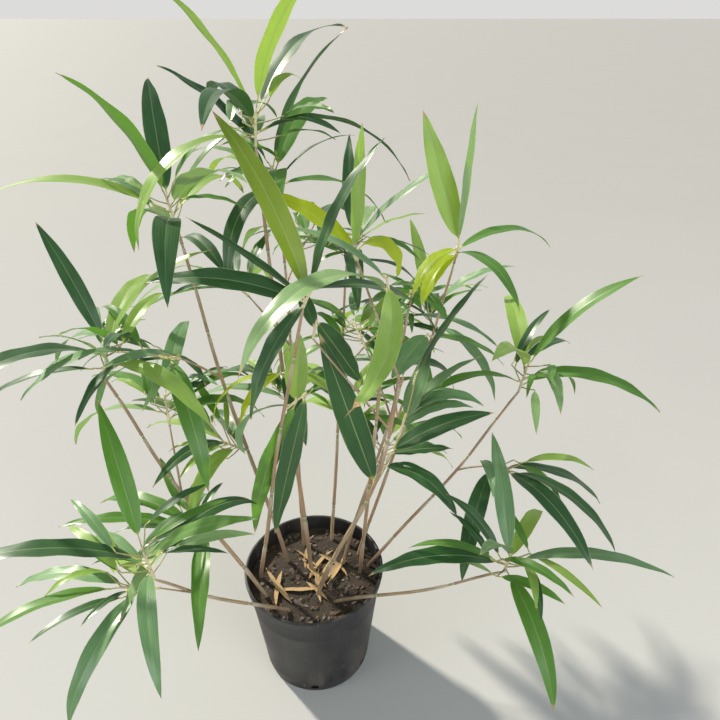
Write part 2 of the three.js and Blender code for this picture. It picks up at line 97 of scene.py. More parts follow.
# Studio: a sun behind and to the left that shines through the leaves, and two soft fills
studio = {
    "floor": {"size": 400.0, "colour": (0.40, 0.395, 0.38), "worn": 0.97},
    "world": {"level": (0.72, 0.715, 0.70), "above": (0.38, 0.42, 0.46), "rise": (0.02, 0.40)},
    "aim": (0, 0, 0.7),
}
lights = {
    "key": {"kind": "SUN", "at": (-2.4, 2.2, 3.1), "power": 5.6, "spread": 3.5, "colour": (1.0, 0.94, 0.82)},
    "fill": {"kind": "AREA", "at": (2.1, -2.3, 2.2), "power": 62, "size": 2.4, "colour": (0.92, 0.97, 1.0)},
    "side": {"kind": "AREA", "at": (-2.6, -1.2, 1.8), "power": 30, "size": 1.8, "colour": (0.94, 0.98, 1.0)},
}


def makeLight(name, setup):
    data = bpy.data.lights.new(name, setup["kind"])
    if setup["kind"] == "SUN":
        data.angle = math.radians(setup["spread"])
    else:
        data.shape = "DISK"
        data.size = setup["size"]
    data.energy = setup["power"]
    data.color = setup["colour"]
    lamp = addObject(name, data)
    lamp.location = setup["at"]
    towards = Vector(studio["aim"]) - Vector(setup["at"])
    lamp.rotation_euler = towards.to_track_quat("-Z", "Y").to_euler()


# Shader maths: a wire is a socket that takes part in Python expressions
class Wire:
    def __init__(self, finish, socket):
        self.finish = finish
        self.socket = socket

    def maths(self, operation, first, second=0.0):
        return self.finish.node("ShaderNodeMath", {"operation": operation}, {0: first, 1: second})

    def __add__(self, other):
        return self.maths("ADD", self, other)

    def __radd__(self, other):
        return self.maths("ADD", other, self)

    def __sub__(self, other):
        return self.maths("SUBTRACT", self, other)

    def __rsub__(self, other):
        return self.maths("SUBTRACT", other, self)

    def __mul__(self, other):
        return self.maths("MULTIPLY", self, other)

    def __rmul__(self, other):
        return self.maths("MULTIPLY", other, self)

    def part(self):
        return self.maths("FRACT", self)

    def floor(self):
        return self.maths("FLOOR", self)

    def size(self):
        return self.maths("ABSOLUTE", self)

    def wave(self):
        return self.maths("SINE", self)

    def over(self, limit):
        return self.maths("GREATER_THAN", self, limit)

    def ramp(self, low, high, start=0.0, end=1.0):     # a soft step from low to high
        return self.finish.node(
            "ShaderNodeMapRange", {"interpolation_type": "SMOOTHSTEP"},
            {0: self, 1: low, 2: high, 3: start, 4: end},
        )


class Finish:
    def __init__(self, name, owner=None):
        self.material = owner or bpy.data.materials.new(name)
        self.material.use_nodes = True
        self.tree = self.material.node_tree
        self.tree.nodes.clear()

    def node(self, kind, settings=None, sockets=None, out=0):
        made = self.tree.nodes.new(kind)
        for key, value in (settings or {}).items():
            if key == "stops":
                self.setStops(made.color_ramp, value)
            else:
                setattr(made, key, value)
        for key, value in (sockets or {}).items():
            if isinstance(value, Wire):
                self.tree.links.new(value.socket, made.inputs[key])
            else:
                made.inputs[key].default_value = value
        return Wire(self, made.outputs[out]) if len(made.outputs) else made

    def setStops(self, ramp, stops):
        while len(ramp.elements) < len(stops):
            ramp.elements.new(0.5)
        for element, (place, colour) in zip(ramp.elements, stops):
            element.position = place
            element.color = (*colour, 1)

    def mix(self, share, first, second):               # 0, 6, 7 and 2 are the colour sockets of Mix
        settings = {"data_type": "RGBA", "blend_type": "MIX"}
        first = first if isinstance(first, Wire) else (*first, 1)
        second = second if isinstance(second, Wire) else (*second, 1)
        return self.node("ShaderNodeMix", settings, {0: share, 6: first, 7: second}, 2)

    def layers(self, colour, *masked):                 # each colour is laid over the last by its mask
        for mask, over in masked:
            colour = self.mix(mask, colour, over)
        return colour

    def colours(self, share, stops):
        return self.node("ShaderNodeValToRGB", {"stops": stops}, {0: share})

    def noise(self, place, scale, detail=3.0, roughness=0.55):
        sockets = {"Vector": place, "Scale": scale, "Detail": detail, "Roughness": roughness}
        return self.node("ShaderNodeTexNoise", {}, sockets)

    def place(self, stretch=(1, 1, 1)):
        place = self.node("ShaderNodeTexCoord", out=3)
        settings = {"operation": "MULTIPLY"}
        return self.node("ShaderNodeVectorMath", settings, {0: place, 1: stretch})

    def axis(self, place, number):
        return self.node("ShaderNodeSeparateXYZ", {}, {0: place}, number)

    def map(self, name):                               # the two axes of a UV map
        flat = self.node("ShaderNodeUVMap", {"uv_map": name})
        return [self.axis(flat, number) for number in (0, 1)]

    def joined(self, x, y, z=0.0):
        return self.node("ShaderNodeCombineXYZ", {}, {0: x, 1: y, 2: z})

    def bump(self, height, strength, depth):
        return self.node("ShaderNodeBump", {}, {"Strength": strength, "Distance": depth, "Height": height})

    def surface(self, shader):
        self.node("ShaderNodeOutputMaterial", {}, {"Surface": shader})
        return self.material

    def plain(self, colour, roughness, normal, **sockets):
        given = {"Base Color": colour, "Roughness": roughness, "Normal": normal}
        return self.node("ShaderNodeBsdfPrincipled", {}, {**given, **sockets})


# Leaf finishes: the upper side, its darker streaks, the underside and the light that comes through
# The tones are partly the leaves' own colour and partly painted light: deep is dark for leaves that stand in
# shade, blue and glow are lightened for leaves that catch the sun, and pale is whitened as a painted sheen
leafTones = {
    "deep": {"top": (0.046, 0.128, 0.036), "streak": (0.026, 0.084, 0.027), "under": (0.078, 0.168, 0.066),
             "through": (0.16, 0.42, 0.05), "glow": 0.30, "roughness": 0.38},
    "blue": {"top": (0.210, 0.360, 0.160), "streak": (0.140, 0.275, 0.120), "under": (0.300, 0.440, 0.245),
             "through": (0.32, 0.58, 0.12), "glow": 0.32, "roughness": 0.36},
    "mid": {"top": (0.130, 0.270, 0.056), "streak": (0.078, 0.190, 0.040), "under": (0.185, 0.320, 0.100),
            "through": (0.42, 0.70, 0.07), "glow": 0.46, "roughness": 0.38},
    "fresh": {"top": (0.340, 0.490, 0.125), "streak": (0.220, 0.370, 0.085), "under": (0.400, 0.530, 0.200),
              "through": (0.68, 0.84, 0.18), "glow": 0.46, "roughness": 0.38},
    "glow": {"top": (0.430, 0.520, 0.070), "streak": (0.300, 0.420, 0.045), "under": (0.470, 0.550, 0.110),
             "through": (0.88, 0.94, 0.07), "glow": 0.66, "roughness": 0.40},
    "olive": {"top": (0.250, 0.330, 0.065), "streak": (0.180, 0.260, 0.045), "under": (0.290, 0.370, 0.100),
              "through": (0.56, 0.68, 0.06), "glow": 0.56, "roughness": 0.40},
    "pale": {"top": (0.330, 0.460, 0.230), "streak": (0.220, 0.350, 0.160), "under": (0.400, 0.520, 0.300),
             "through": (0.54, 0.76, 0.20), "glow": 0.40, "roughness": 0.30},
}
leafMarks = {
    "rib": (0.42, 0.52, 0.22), "stalk": (0.62, 0.62, 0.16), "dry": (0.52, 0.36, 0.17),
    "margin": (0.66, 0.70, 0.42), "fineVeins": 26, "mainVeins": 9, "wander": 0.035,
    "bump": 0.30, "depth": 0.00022, "coat": 0.16, "coatRoughness": 0.26,
}


def makeLeafFinish(name, tone):
    f = Finish("leaf_" + name)
    across, count = f.map("veins")
    under = across.over(1.5)                           # the underside lies 2 further on the map
    across = across - 2 * under
    fromRib = ((across - 0.5) * 2).size()
    along = count.part()                               # from 0 at the stalk to 1 at the tip
    number = count.floor()                             # the leaf's own number
    chance = f.node("ShaderNodeTexWhiteNoise", {"noise_dimensions": "1D"}, {"W": number * 1.37 + 0.5})
    streaks = f.noise(f.joined(across * 9, along * 1.6, number), 3.0, 4.0)
    # Large patches of painted sunlight: the leaf colour turns paler where dappled light would fall. The same
    # noise also varies the roughness
    paintedSunPatches = f.noise(f.place(), 21.0, 3.0)
    wander = across + (streaks - 0.5) * leafMarks["wander"]
    fine = (wander * (2 * math.pi * leafMarks["fineVeins"])).wave()
    main = (wander * (2 * math.pi * leafMarks["mainVeins"])).wave()
    faint = f.noise(f.joined(across * 3, along * 2.2, number + 40.0), 1.6, 3.0)
    rib = fromRib.ramp(0.022, 0.058, 1.0, 0.0)
    stalk = along.ramp(0.035, 0.075, 1.0, 0.0)
    tip = (along + chance * 0.05 + (streaks - 0.5) * 0.05).ramp(0.978, 1.01)
    colour = f.layers(
        tone["top"],
        (streaks.ramp(0.36, 0.68), tone["streak"]),
        (fine.ramp(-0.2, 1.0, 0.0, 0.20), tone["streak"]),
        (main.ramp(-0.4, -1.0, 0.0, 0.75) * faint.ramp(0.3, 0.6, 0.35, 1.0), tone["streak"]),
        (main.ramp(0.3, 1.0, 0.0, 0.60) * faint.ramp(0.3, 0.6, 0.2, 1.0), tone["under"]),
        (faint.ramp(0.52, 0.72, 0.0, 0.55), tone["under"]),
        # painted sunlight patches, laid over the leaf as a paler tone
        (paintedSunPatches.ramp(0.45, 0.75, 0.0, 0.30), tone["under"]),
        (chance.ramp(0.0, 1.0, 0.0, 0.26), tone["streak"]),
        (under * 0.62, tone["under"]),
        (rib * (0.22 + 0.34 * chance), leafMarks["rib"]),
        (fromRib.ramp(0.945, 0.985) * 0.62, leafMarks["margin"]),
        (stalk, leafMarks["stalk"]),
        (tip * 0.85, leafMarks["dry"]),
    )
    relief = (fine * 0.12 + main * 0.5 + streaks * 0.5 - rib * 0.6) * along.ramp(0.55, 0.9, 1.0, 0.1)
    normal = f.bump(relief, leafMarks["bump"], leafMarks["depth"])
    roughness = tone["roughness"] + paintedSunPatches.ramp(0.3, 0.7, -0.05, 0.07) + under * 0.16 + tip * 0.2
    coat = {"Coat Weight": leafMarks["coat"], "Coat Roughness": leafMarks["coatRoughness"]}
    body = f.plain(colour, roughness, normal, **coat)
    light = f.node("ShaderNodeBsdfTranslucent", {}, {"Color": (*tone["through"], 1)})
    share = (1 - rib * 0.35) * (1 - stalk * 0.5) * (1 - tip * 0.6) * tone["glow"]
    return f.surface(f.node("ShaderNodeMixShader", {}, {0: share, 1: body, 2: light}))


dryStops = [(0.25, (0.20, 0.11, 0.05)), (0.5, (0.46, 0.30, 0.14)), (0.8, (0.66, 0.50, 0.28))]


def makeDryFinish():
    f = Finish("leaf_dry")
    across, count = f.map("veins")
    streaks = f.noise(f.joined(across * 12, count.part() * 5, count.floor()), 3.0, 4.0)
    ribs = (across * 170).wave()
    normal = f.bump(ribs * 0.5 + streaks, 0.5, 0.0005)
    return f.surface(f.plain(f.colours(streaks, dryStops), 0.62 + streaks * 0.2, normal))


# Canes and stems: tan sheaths with lengthwise streaks over a greener cane
caneMarks = {
    "sheath": (0.52, 0.385, 0.235), "sheathDark": (0.25, 0.150, 0.085), "pink": (0.43, 0.23, 0.135),
    "cane": (0.30, 0.29, 0.12), "ring": (0.15, 0.10, 0.06), "bloom": (0.62, 0.58, 0.50),
    "foot": (0.16, 0.11, 0.07),
}


def makeCaneFinish():
    f = Finish("cane_sheath")
    around, count = f.map("veins")
    along = count.part()                               # from 0 at one ring to 1 at the next
    streaks = f.noise(f.joined(around * 26, count * 1.5), 2.2, 5.0)
    fibres = f.noise(f.joined(around * 90, count * 3.0), 2.0, 2.0)
    patches = f.noise(f.place((1, 1, 0.35)), 30.0, 3.0)
    low = f.axis(f.place(), 2).ramp(0.24, 0.36, 0.75, 0.0)
    bare = along.ramp(0.905, 0.925)
    colour = f.layers(
        caneMarks["sheath"],
        (streaks.ramp(0.35, 0.65), caneMarks["sheathDark"]),
        (patches.ramp(0.45, 0.70, 0.0, 0.55), caneMarks["pink"]),
        (along.ramp(0.55, 0.9, 0.0, 0.35), caneMarks["bloom"]),
        (bare, caneMarks["cane"]),
        (along.ramp(0.955, 0.985) * 0.6, caneMarks["bloom"]),
        (along.ramp(0.0, 0.03, 1.0, 0.0) * 0.8, caneMarks["ring"]),
        (low * patches.ramp(0.35, 0.6), caneMarks["foot"]),
    )
    normal = f.bump(streaks + fibres * 0.7, 0.55, 0.0006)
    return f.surface(f.plain(colour, 0.46 + streaks * 0.2 - bare * 0.12, normal))


stemMarks = {"green": (0.30, 0.33, 0.10), "straw": (0.52, 0.44, 0.20), "tan": (0.40, 0.28, 0.17)}


def makeStemFinish():
    f = Finish("stem_green")
    around, count = f.map("veins")
    streaks = f.noise(f.joined(around * 20, count * 4), 2.0, 4.0)
    patches = f.noise(f.place(), 45.0, 3.0)
    colour = f.layers(
        stemMarks["green"],
        (streaks.ramp(0.35, 0.7), stemMarks["straw"]),
        (patches.ramp(0.45, 0.7, 0.0, 0.8), stemMarks["tan"]),
    )
    return f.surface(f.plain(colour, 0.42 + patches * 0.2, f.bump(streaks, 0.4, 0.0004)))


paperMarks = {
    "stops": [(0.3, (0.44, 0.33, 0.18)), (0.55, (0.70, 0.62, 0.38)), (0.8, (0.84, 0.80, 0.62))],
    "tip": (0.78, 0.72, 0.48),
}


def makePaperFinish():
    f = Finish("sheath_paper")
    around, count = f.map("veins")
    streaks = f.noise(f.joined(around * 30, count * 3), 2.0, 4.0)
    tip = count.part().ramp(0.55, 1.0)
    colour = f.layers(f.colours(streaks, paperMarks["stops"]), (tip * 0.5, paperMarks["tip"]))
    return f.surface(f.plain(colour, 0.50 + streaks * 0.15, f.bump(streaks, 0.5, 0.0005)))


potMarks = {
    "black": (0.012, 0.012, 0.013), "worn": (0.026, 0.026, 0.027), "dust": (0.17, 0.14, 0.105),
    "specks": (0.20, 0.165, 0.12),
}


def makePotFinish():
    f = Finish("moulded_black")
    place = f.place()
    grain = f.noise(place, 900.0, 2.0)
    smear = f.noise(f.place((1, 1, 0.3)), 14.0, 5.0, 0.65)
    dust = f.noise(place, 70.0, 6.0, 0.7)
    dusty = smear.ramp(0.42, 0.75) * f.axis(place, 2).ramp(0.0, 0.16, 1.0, 0.25)
    colour = f.layers(
        potMarks["black"],
        (smear.ramp(0.3, 0.7), potMarks["worn"]),
        (dusty * 0.55, potMarks["dust"]),
        (dust.ramp(0.60, 0.70) * 0.45, potMarks["specks"]),
    )
    normal = f.bump(grain * 0.5 + dust, 0.22, 0.0006)
    roughness = 0.40 + smear.ramp(0.3, 0.7, 0.0, 0.16) + dusty * 0.3
    return f.surface(f.plain(colour, roughness, normal))


soilMarks = {
    "stops": [(0.3, (0.010, 0.007, 0.005)), (0.52, (0.040, 0.026, 0.017)), (0.75, (0.105, 0.070, 0.044))],
    "green": (0.028, 0.030, 0.014),
}


def makeSoilFinish():
    f = Finish("potting_soil")
    place = f.place()
    crumbs = f.noise(place, 260.0, 6.0, 0.7)
    patches = f.noise(place, 26.0, 4.0)
    green = (patches.ramp(0.45, 0.7, 0.0, 0.5), soilMarks["green"])
    colour = f.layers(f.colours(crumbs, soilMarks["stops"]), green)
    return f.surface(f.plain(colour, 0.93 - patches * 0.12, f.bump(crumbs, 0.9, 0.003)))


def makeChipFinish(name, dark, light):
    f = Finish(name)
    grain = f.noise(f.place((1, 1, 3)), 160.0, 5.0, 0.65)
    patches = f.noise(f.place(), 60.0, 2.0)
    colour = f.layers(dark, (grain.ramp(0.35, 0.7), light), (patches.ramp(0.4, 0.7, 0.0, 0.5), dark))
    return f.surface(f.plain(colour, 0.88 - grain * 0.1, f.bump(grain, 0.8, 0.0012)))


def makeFloorFinish():
    f = Finish("floor_pale")
    base = studio["floor"]["colour"]
    worn = tuple(studio["floor"]["worn"] * c for c in base)
    soft = f.noise(f.place(), 1.2, 2.0)
    colour = f.mix(soft.ramp(0.3, 0.7, 0.0, 0.5), base, worn)
    return f.surface(f.plain(colour, 0.85, f.bump(f.noise(f.place(), 300.0), 0.05, 0.0005)))


def makeWorld():
    world = bpy.data.worlds.new("studio")
    f = Finish("", world)
    height = f.axis(f.node("ShaderNodeTexCoord"), 2)
    colour = f.mix(height.ramp(*studio["world"]["rise"]), studio["world"]["level"], studio["world"]["above"])
    sky = f.node("ShaderNodeBackground", {}, {"Color": colour})
    f.node("ShaderNodeOutputWorld", {}, {"Surface": sky})
    bpy.context.scene.world = world


def makeStudio():
    size = studio["floor"]["size"] / 2
    corners = [(-size, -size, 0), (size, -size, 0), (size, size, 0), (-size, size, 0)]
    floor = addObject("floor", newMesh("floor", corners, [(0, 1, 2, 3)], makeFloorFinish()))
    for name, setup in lights.items():
        makeLight(name, setup)
    makeWorld()
    bpy.context.scene.view_settings.view_transform = "Standard"


makeCamera()
makeStudio()
print("camera and studio made")


# A shape gathers points and faces of many like things, with the place of each corner on its maps
class Shape:
    def __init__(self):
        self.points = []
        self.faces = []
        self.finishes = []
        self.corners = {"veins": [], "OFBake": []}
        self.creases = []

    def add(self, points, faces, veins=(), bake=(), finish=0, creases=()):
        first = len(self.points)
        self.points.extend(tuple(mm * c for c in point) for point in points)
        self.faces.extend(tuple(first + i for i in face) for face in faces)
        self.finishes.extend(finish if isinstance(finish, list) else [finish] * len(faces))
        self.corners["veins"].extend(veins)
        self.corners["OFBake"].extend(bake)
        self.creases.extend((first + i, first + j) for i, j in creases)

    def piece(self, name, materials, slotName, *nodes):
        mesh = newMesh(name, self.points, self.faces, *materials)
        for layer, corners in self.corners.items():
            if len(corners) == len(mesh.loops):
                mesh.uv_layers.new(name=layer).data.foreach_set("uv", np.array(corners, float).ravel())
        mesh.polygons.foreach_set("material_index", self.finishes)
        shade(mesh)
        if self.creases:
            wanted = {tuple(sorted(pair)) for pair in self.creases}
            sharp = [tuple(sorted(edge.vertices)) in wanted for edge in mesh.edges]
            mesh.edges.foreach_set("use_edge_sharp", sharp)
        mesh.update()
        return rideFrame(name, mesh, slotName, *nodes)


def rideFrame(name, mesh, slotName, *nodes):
    piece = addObject(name, mesh)
    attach(piece, "root")
    if nodes:
        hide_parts(*nodes)
    return piece


# The plant, in millimetres and degrees
soilTop = 238
gap = 0.3
growth = {
    "caneTaper": 0.5, "bowPower": 1.3, "boughTaper": 0.6, "stemTaper": 0.55,
    "caneSteps": 9, "boughSteps": 4, "stemRadius": 2.3, "stemSteps": 2, "twigRadius": 1.6,
}
bladeForm = {
    "steps": 5, "thickness": 0.0105, "stalkShare": 0.04, "stalkHalfWidth": 1.4, "stalkThickness": 2.24,
    "tipHalfWidth": 0.8, "tipThickness": 0.5, "rootPower": 0.6, "tipPower": 0.92, "leastWidth": 0.04,
    "droopPower": 1.25,
}
room = {
    "testSteps": 8, "firstRow": 2, "firstRowByOwnLeaf": 4, "firstRowByOwnLimb": 3, "leafRoom": 7,
    "limbRoom": 8, "leafReach": 0.8, "limbReach": 0.9, "turns": (0, 12, -12, 24, -24, 36, -36),
}
# Canes: the foot's x and y, the top's x, y and z, the bow in x and y, and the radius at the foot
caneTable = {
    "culm_a": (-118, -8, 13, -80, 922, -6, 0, 4.0), "culm_c": (100, 6, 143, -60, 935, 2, 0, 3.8),
    "culm_d": (62, 30, 198, 135, 846, 20, 0, 3.4), "culm_e": (96, 56, 279, 158, 915, 10, 0, 3.6),
    "culm_f": (10, -52, 176, -16, 760, 24, -8, 4.6), "culm_h": (-62, 36, -215, 100, 985, -10, 0, 4.2),
    "culm_i": (-30, 82, -60, 290, 1000, 0, 10, 4.2), "culm_j": (34, 98, 70, 330, 830, 0, 10, 3.8),
    "culm_k": (-98, -58, -320, -70, 790, -15, 0, 4.0), "culm_l": (-8, 14, -80, 170, 1110, -6, 8, 4.6),
    "culm_m": (-44, -92, -235, -240, 510, 0, -10, 3.4), "culm_n": (44, -70, 350, -190, 470, 0, -10, 3.2),
    "culm_o": (116, 22, 405, 60, 680, 12, 0, 3.4), "culm_p": (66, 80, 270, 326, 668, 0, 10, 3.4),
}
# Boughs: the cane, the share of its height, heading, rise, bend, length and radius
boughTable = {
    "bough_b": ("culm_f", 0.8, 186, 56, 0, 236, 2.0), "bough_d": ("culm_d", 0.6, 116, 46, 8, 150, 2.0),
    "bough_g": ("culm_f", 0.97, 152, 68, 0, 232, 2.4), "bough_h": ("culm_h", 0.62, 240, 48, 8, 130, 2.2),
    "bough_i": ("culm_i", 0.6, 150, 46, 8, 140, 2.2), "bough_j": ("culm_j", 0.62, 30, 44, 8, 130, 2.0),
    "bough_k": ("culm_k", 0.55, 110, 46, 8, 130, 2.0), "bough_l": ("culm_l", 0.66, 70, 40, 8, 140, 2.2),
    "bough_m": ("culm_m", 0.6, 200, 40, 8, 110, 1.8), "bough_o": ("culm_o", 0.6, 300, 44, 8, 110, 1.8),
    "bough_p": ("culm_p", 0.6, 95, 44, 8, 110, 1.8),
}
# Front sprays: the limb, the share of its height, and the stem's heading, rise, bend and length. Then
# each leaf: share of the stem, heading, rise, bend, length, width, sweep, roll and tone
frontSprays = {
    "spray_a": ("culm_a", 1, 40, 62, 20, 34, (
        (0.95, 22, 4, 78, 285, 42, 0, 0, "deep"), (0.8, 23, 77, 36, 250, 32, 0, 4, "deep"),
        (0.6, 137, 66, 34, 320, 42, 0, -10, "olive"), (0.3, 178, 24, 40, 250, 40, 0, -30, "deep"),
        (0.2, 236, -18, 60, 200, 40, 0, 10, "deep"), (0.4, 163, 36, 12, 220, 24, 0, 4, "deep"))),
    "spray_a2": ("culm_a", 0.7, 38, 20, 0, 52, (
        (0.55, 184, -64, 19, 340, 42, -17, 54, "mid"), (0.95, 186, -76, 2, 350, 46, -14, 60, "deep"),
        (0.3, 176, 0, 116, 175, 34, 0, 30, "blue"), (0.5, 75, 74, 10, 120, 44, 0, 0, "fresh"))),
    "spray_b": ("bough_b", 1, 80, 44, 0, 36, (
        (0.9, 24, -59, 2, 165, 44, 0, 68, "deep"), (0.5, 120, 50, 20, 85, 26, 0, 0, "deep"))),
    "spray_c": ("culm_c", 1, 100, 75, 0, 30, (
        (0.2, 231, 43, 111, 340, 46, -10, 8, "pale"), (0.8, 161, 40, 72, 265, 32, -5, 3, "blue"),
        (0.6, 292, -53, -13, 229, 41, -99, 0, "fresh"))),
    "spray_e": ("culm_e", 1, 60, 75, 0, 34, (
        (0.9, 132, 64, 0, 240, 46, 0, -40, "fresh"), (0.8, 61, 83, 4, 240, 30, 0, 86, "pale"),
        (0.5, 214, 4, 74, 140, 32, 17, 0, "glow"), (0.2, 221, -8, 66, 130, 36, 12, 6, "glow"),
        (0.4, 20, 30, 80, 230, 34, 0, 0, "mid"), (0.3, 300, 20, 80, 200, 32, 0, 0, "mid"))),
    "spray_e2": ("culm_e", 0.77, 230, 40, 0, 26, (
        (0.9, 228, -15, 19, 125, 46, 5, -16, "blue"), (0.4, 345, 10, 60, 160, 30, 0, 0, "mid"))),
    "spray_d": ("culm_d", 1, 20, 70, 0, 30, (
        (0.9, 345, -32, 30, 84, 30, 0, 0, "pale"), (0.5, 328, -12, 50, 90, 30, 0, 0, "mid"),
        (0.7, 130, -5, 50, 120, 28, 0, 0, "mid"), (0.3, 205, 4, 80, 120, 30, 0, 0, "fresh"),
        (0.4, 170, 0, 90, 150, 32, 0, 0, "mid"), (0.9, 80, -20, 40, 110, 28, 0, 0, "mid"))),
    "spray_f": ("culm_f", 0.56, 11, 64, -22, 262, (
        (0.04, 172, 73, 0, 332, 52, 0, -76, "deep"), (0.22, 325, 24, 74, 178, 36, -12, 5, "deep"),
        (0.33, 1, 14, 20, 116, 30, 0, 0, "deep"), (0.35, 355, 44, 34, 205, 38, 0, 28, "deep"),
        (0.56, 358, 56, 66, 145, 30, -19, 16, "blue"), (0.66, 7, 52, 84, 155, 30, -31, 12, "blue"),
        (0.64, 12, 60, 33, 180, 34, -21, 6, "blue"), (0.64, 18, 72, 0, 144, 38, 0, 26, "blue"),
        (0.98, 16, 65, 20, 210, 24, 0, -12, "deep"))),
    "spray_g": ("bough_g", 1, 120, 60, 0, 20, (
        (0.9, 160, 43, 39, 180, 40, -6, -12, "glow"), (0.6, 330, 60, 184, 132, 38, 0, 8, "glow"),
        (0.9, 80, 74, 12, 200, 34, 0, 60, "fresh"))),
    "spray_l3": ("culm_l", 0.52, 270, 40, 0, 40, (
        (0.9, 338, 14, 74, 160, 26, 0, 0, "fresh"), (0.8, 222, 0, 84, 140, 28, 0, 0, "glow"),
        (0.6, 196, 14, 110, 200, 28, 0, 20, "glow"), (0.5, 300, -30, 44, 150, 34, 0, 0, "deep"),
        (0.4, 20, 46, 40, 120, 30, 0, 0, "mid"))),
}
# Sprays of the rule: seed, count and usual length of the leaves
tipSprays = {
    "h": (21, 7, 270), "i": (34, 7, 270), "j": (52, 7, 250), "k": (58, 7, 250),
    "l": (63, 8, 280), "m": (72, 6, 230), "n": (91, 6, 220), "o": (108, 6, 240), "p": (126, 6, 230),
}
sideSprays = {
    "d": (243, 5, 220), "h": (121, 5, 240), "i": (134, 5, 250), "j": (167, 5, 240), "k": (158, 5, 240),
    "l": (168, 5, 250), "m": (172, 4, 220), "o": (232, 4, 220), "p": (210, 5, 230),
}
# Low sprays straight on a cane: share of its height and heading come first
lowSprays = {
    "h": (0.4, 196, 311, 5, 200), "i": (0.42, 110, 322, 5, 230), "j": (0.44, 62, 333, 5, 220),
    "k": (0.36, 205, 344, 5, 220), "p": (0.4, 66, 376, 5, 200),
}
tipStem = {"rise": 74, "bend": 0, "length": 60}
sideStem = {"drop": 16, "bend": 0, "length": 70}
lowStem = {"rise": 34, "bend": 0, "length": 60}
headingFactor = 7
tipRule = {
    "turn": 137.5, "turnDraw": 14, "rise": 10, "riseGain": 62, "risePower": 1.3, "riseDraw": 10,
    "bend": 96, "bendGain": -66, "bendDraw": 18,
}
sideRule = {
    "turn": 82, "turnGain": -74, "turnDraw": 10, "stemRise": 0.5, "rise": -8, "riseGain": 26,
    "riseDraw": 14, "bend": 92, "bendGain": -30, "bendDraw": 22,
}
leafRule = {
    "first": 0.12, "span": 0.86, "length": 0.94, "swell": 0.12, "lengthDraw": 0.1, "width": 0.145,
    "widthDraw": 0.12, "sweepDraw": 14, "rollDraw": 16, "twig": 16, "twigDraw": 8,
}
draws = {"seedFactor": 7919, "factor": 16807, "modulus": 2147483647, "skipped": 3}


def lerp(a, b, t):
    return a + (b - a) * t


def direction(heading, rise):
    h, r = math.radians(heading), math.radians(rise)
    return Vector((math.cos(r) * math.cos(h), math.cos(r) * math.sin(h), math.sin(r)))


def arc(start, shape, steps):
    points = [Vector(start)]
    for k in range(steps):
        t = (k + 0.5) / steps
        rise = shape["rise"] - shape["bend"] * t ** bladeForm["droopPower"]
        way = direction(shape["heading"] + shape.get("sweep", 0) * t, rise)
        points.append(points[-1] + way * (shape["length"] / steps))
    return points


def caneLine(cane, steps):
    points = []
    for k in range(steps + 1):
        t = k / steps
        bow = math.sin(math.pi * t ** growth["bowPower"]) ** 2
        x, y = (lerp(cane["foot"][i], cane["top"][i], t) + cane["bow"][i] * bow for i in (0, 1))
        points.append(Vector((x, y, lerp(soilTop + gap, cane["top"][2], t))))
    return points


def runLengths(line):                                  # how far each point lies along its line
    lengths = [0.0]
    for a, b in zip(line, line[1:]):
        lengths.append(lengths[-1] + (b - a).length)
    return lengths


def along(line, share):
    lengths = runLengths(line)
    wanted = share * lengths[-1]
    k = 1
    while k < len(line) - 1 and lengths[k] < wanted:
        k += 1
    part = (wanted - lengths[k - 1]) / (lengths[k] - lengths[k - 1])
    return line[k - 1].lerp(line[k], part)


def tangents(line):
    last = len(line) - 1
    return [(line[min(k + 1, last)] - line[max(k - 1, 0)]).normalized() for k in range(len(line))]


def bladeWidth(t):
    root, tip = bladeForm["rootPower"], bladeForm["tipPower"]
    at = root / (root + tip)
    widest = at ** root * (1 - at) ** tip
    u = max(0.0, (t - bladeForm["stalkShare"]) / (1 - bladeForm["stalkShare"]))
    return max(bladeForm["leastWidth"], u ** root * (1 - u) ** tip / widest)


def leafFrame(start, leaf, steps):
    midrib = arc(start, leaf, steps)
    rows = []
    for k, (point, way) in enumerate(zip(midrib, tangents(midrib))):
        t = k / steps
        heading = math.radians(leaf["heading"] + leaf["sweep"] * t)
        level = Vector((-math.sin(heading), math.cos(heading), 0))
        upright = way.cross(level).normalized()
        roll = math.radians(leaf["roll"])
        side = level * math.cos(roll) + upright * math.sin(roll)
        rows.append((point, side, way.cross(side).normalized(), leaf["width"] / 2 * bladeWidth(t)))
    return rows


# The blade as its solid has it, for the tests against limbs and earlier masses
def plainBlade(start, root, leaf):
    thick = max(leaf["length"] * bladeForm["thickness"], bladeForm["stalkThickness"])
    rows = leafFrame(root, leaf, bladeForm["steps"])
    rings = []
    for k, (point, side, normal, half) in enumerate(rows):
        half = max(half, bladeForm["stalkHalfWidth"] if k == 0 else bladeForm["tipHalfWidth"])
        deep = thick * (bladeForm["tipThickness"] if k == bladeForm["steps"] else 1)
        rings.append((point - normal * deep, point + side * half, point - side * half))
    if leaf["twig"] > 0:
        side, normal, half = rows[0][1], rows[0][2], growth["twigRadius"]
        rings.insert(0, (start - normal * thick, start + side * half, start - side * half))
    points = [point * mm for ring in rings for point in ring]
    faces = [(0, 2, 1), (len(points) - 3, len(points) - 2, len(points) - 1)]
    for i in range(len(rings) - 1):
        for j in range(3):
            a, b = 3 * i + j, 3 * i + (j + 1) % 3
            p, q, r, s = (points[k] for k in (a, b, b + 3, a + 3))
            if (p + r - q - s).dot((r - p).cross(s - q)) < 0:      # cut along the outer diagonal
                faces += [(a, b, a + 3), (b, b + 3, a + 3)]
            else:
                faces += [(a, b, b + 3), (a, b + 3, a + 3)]
    return BVHTree.FromPolygons(points, faces)


def nodeTree(name):
    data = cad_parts[name].data
    return BVHTree.FromPolygons([v.co for v in data.vertices], [p.vertices for p in data.polygons])


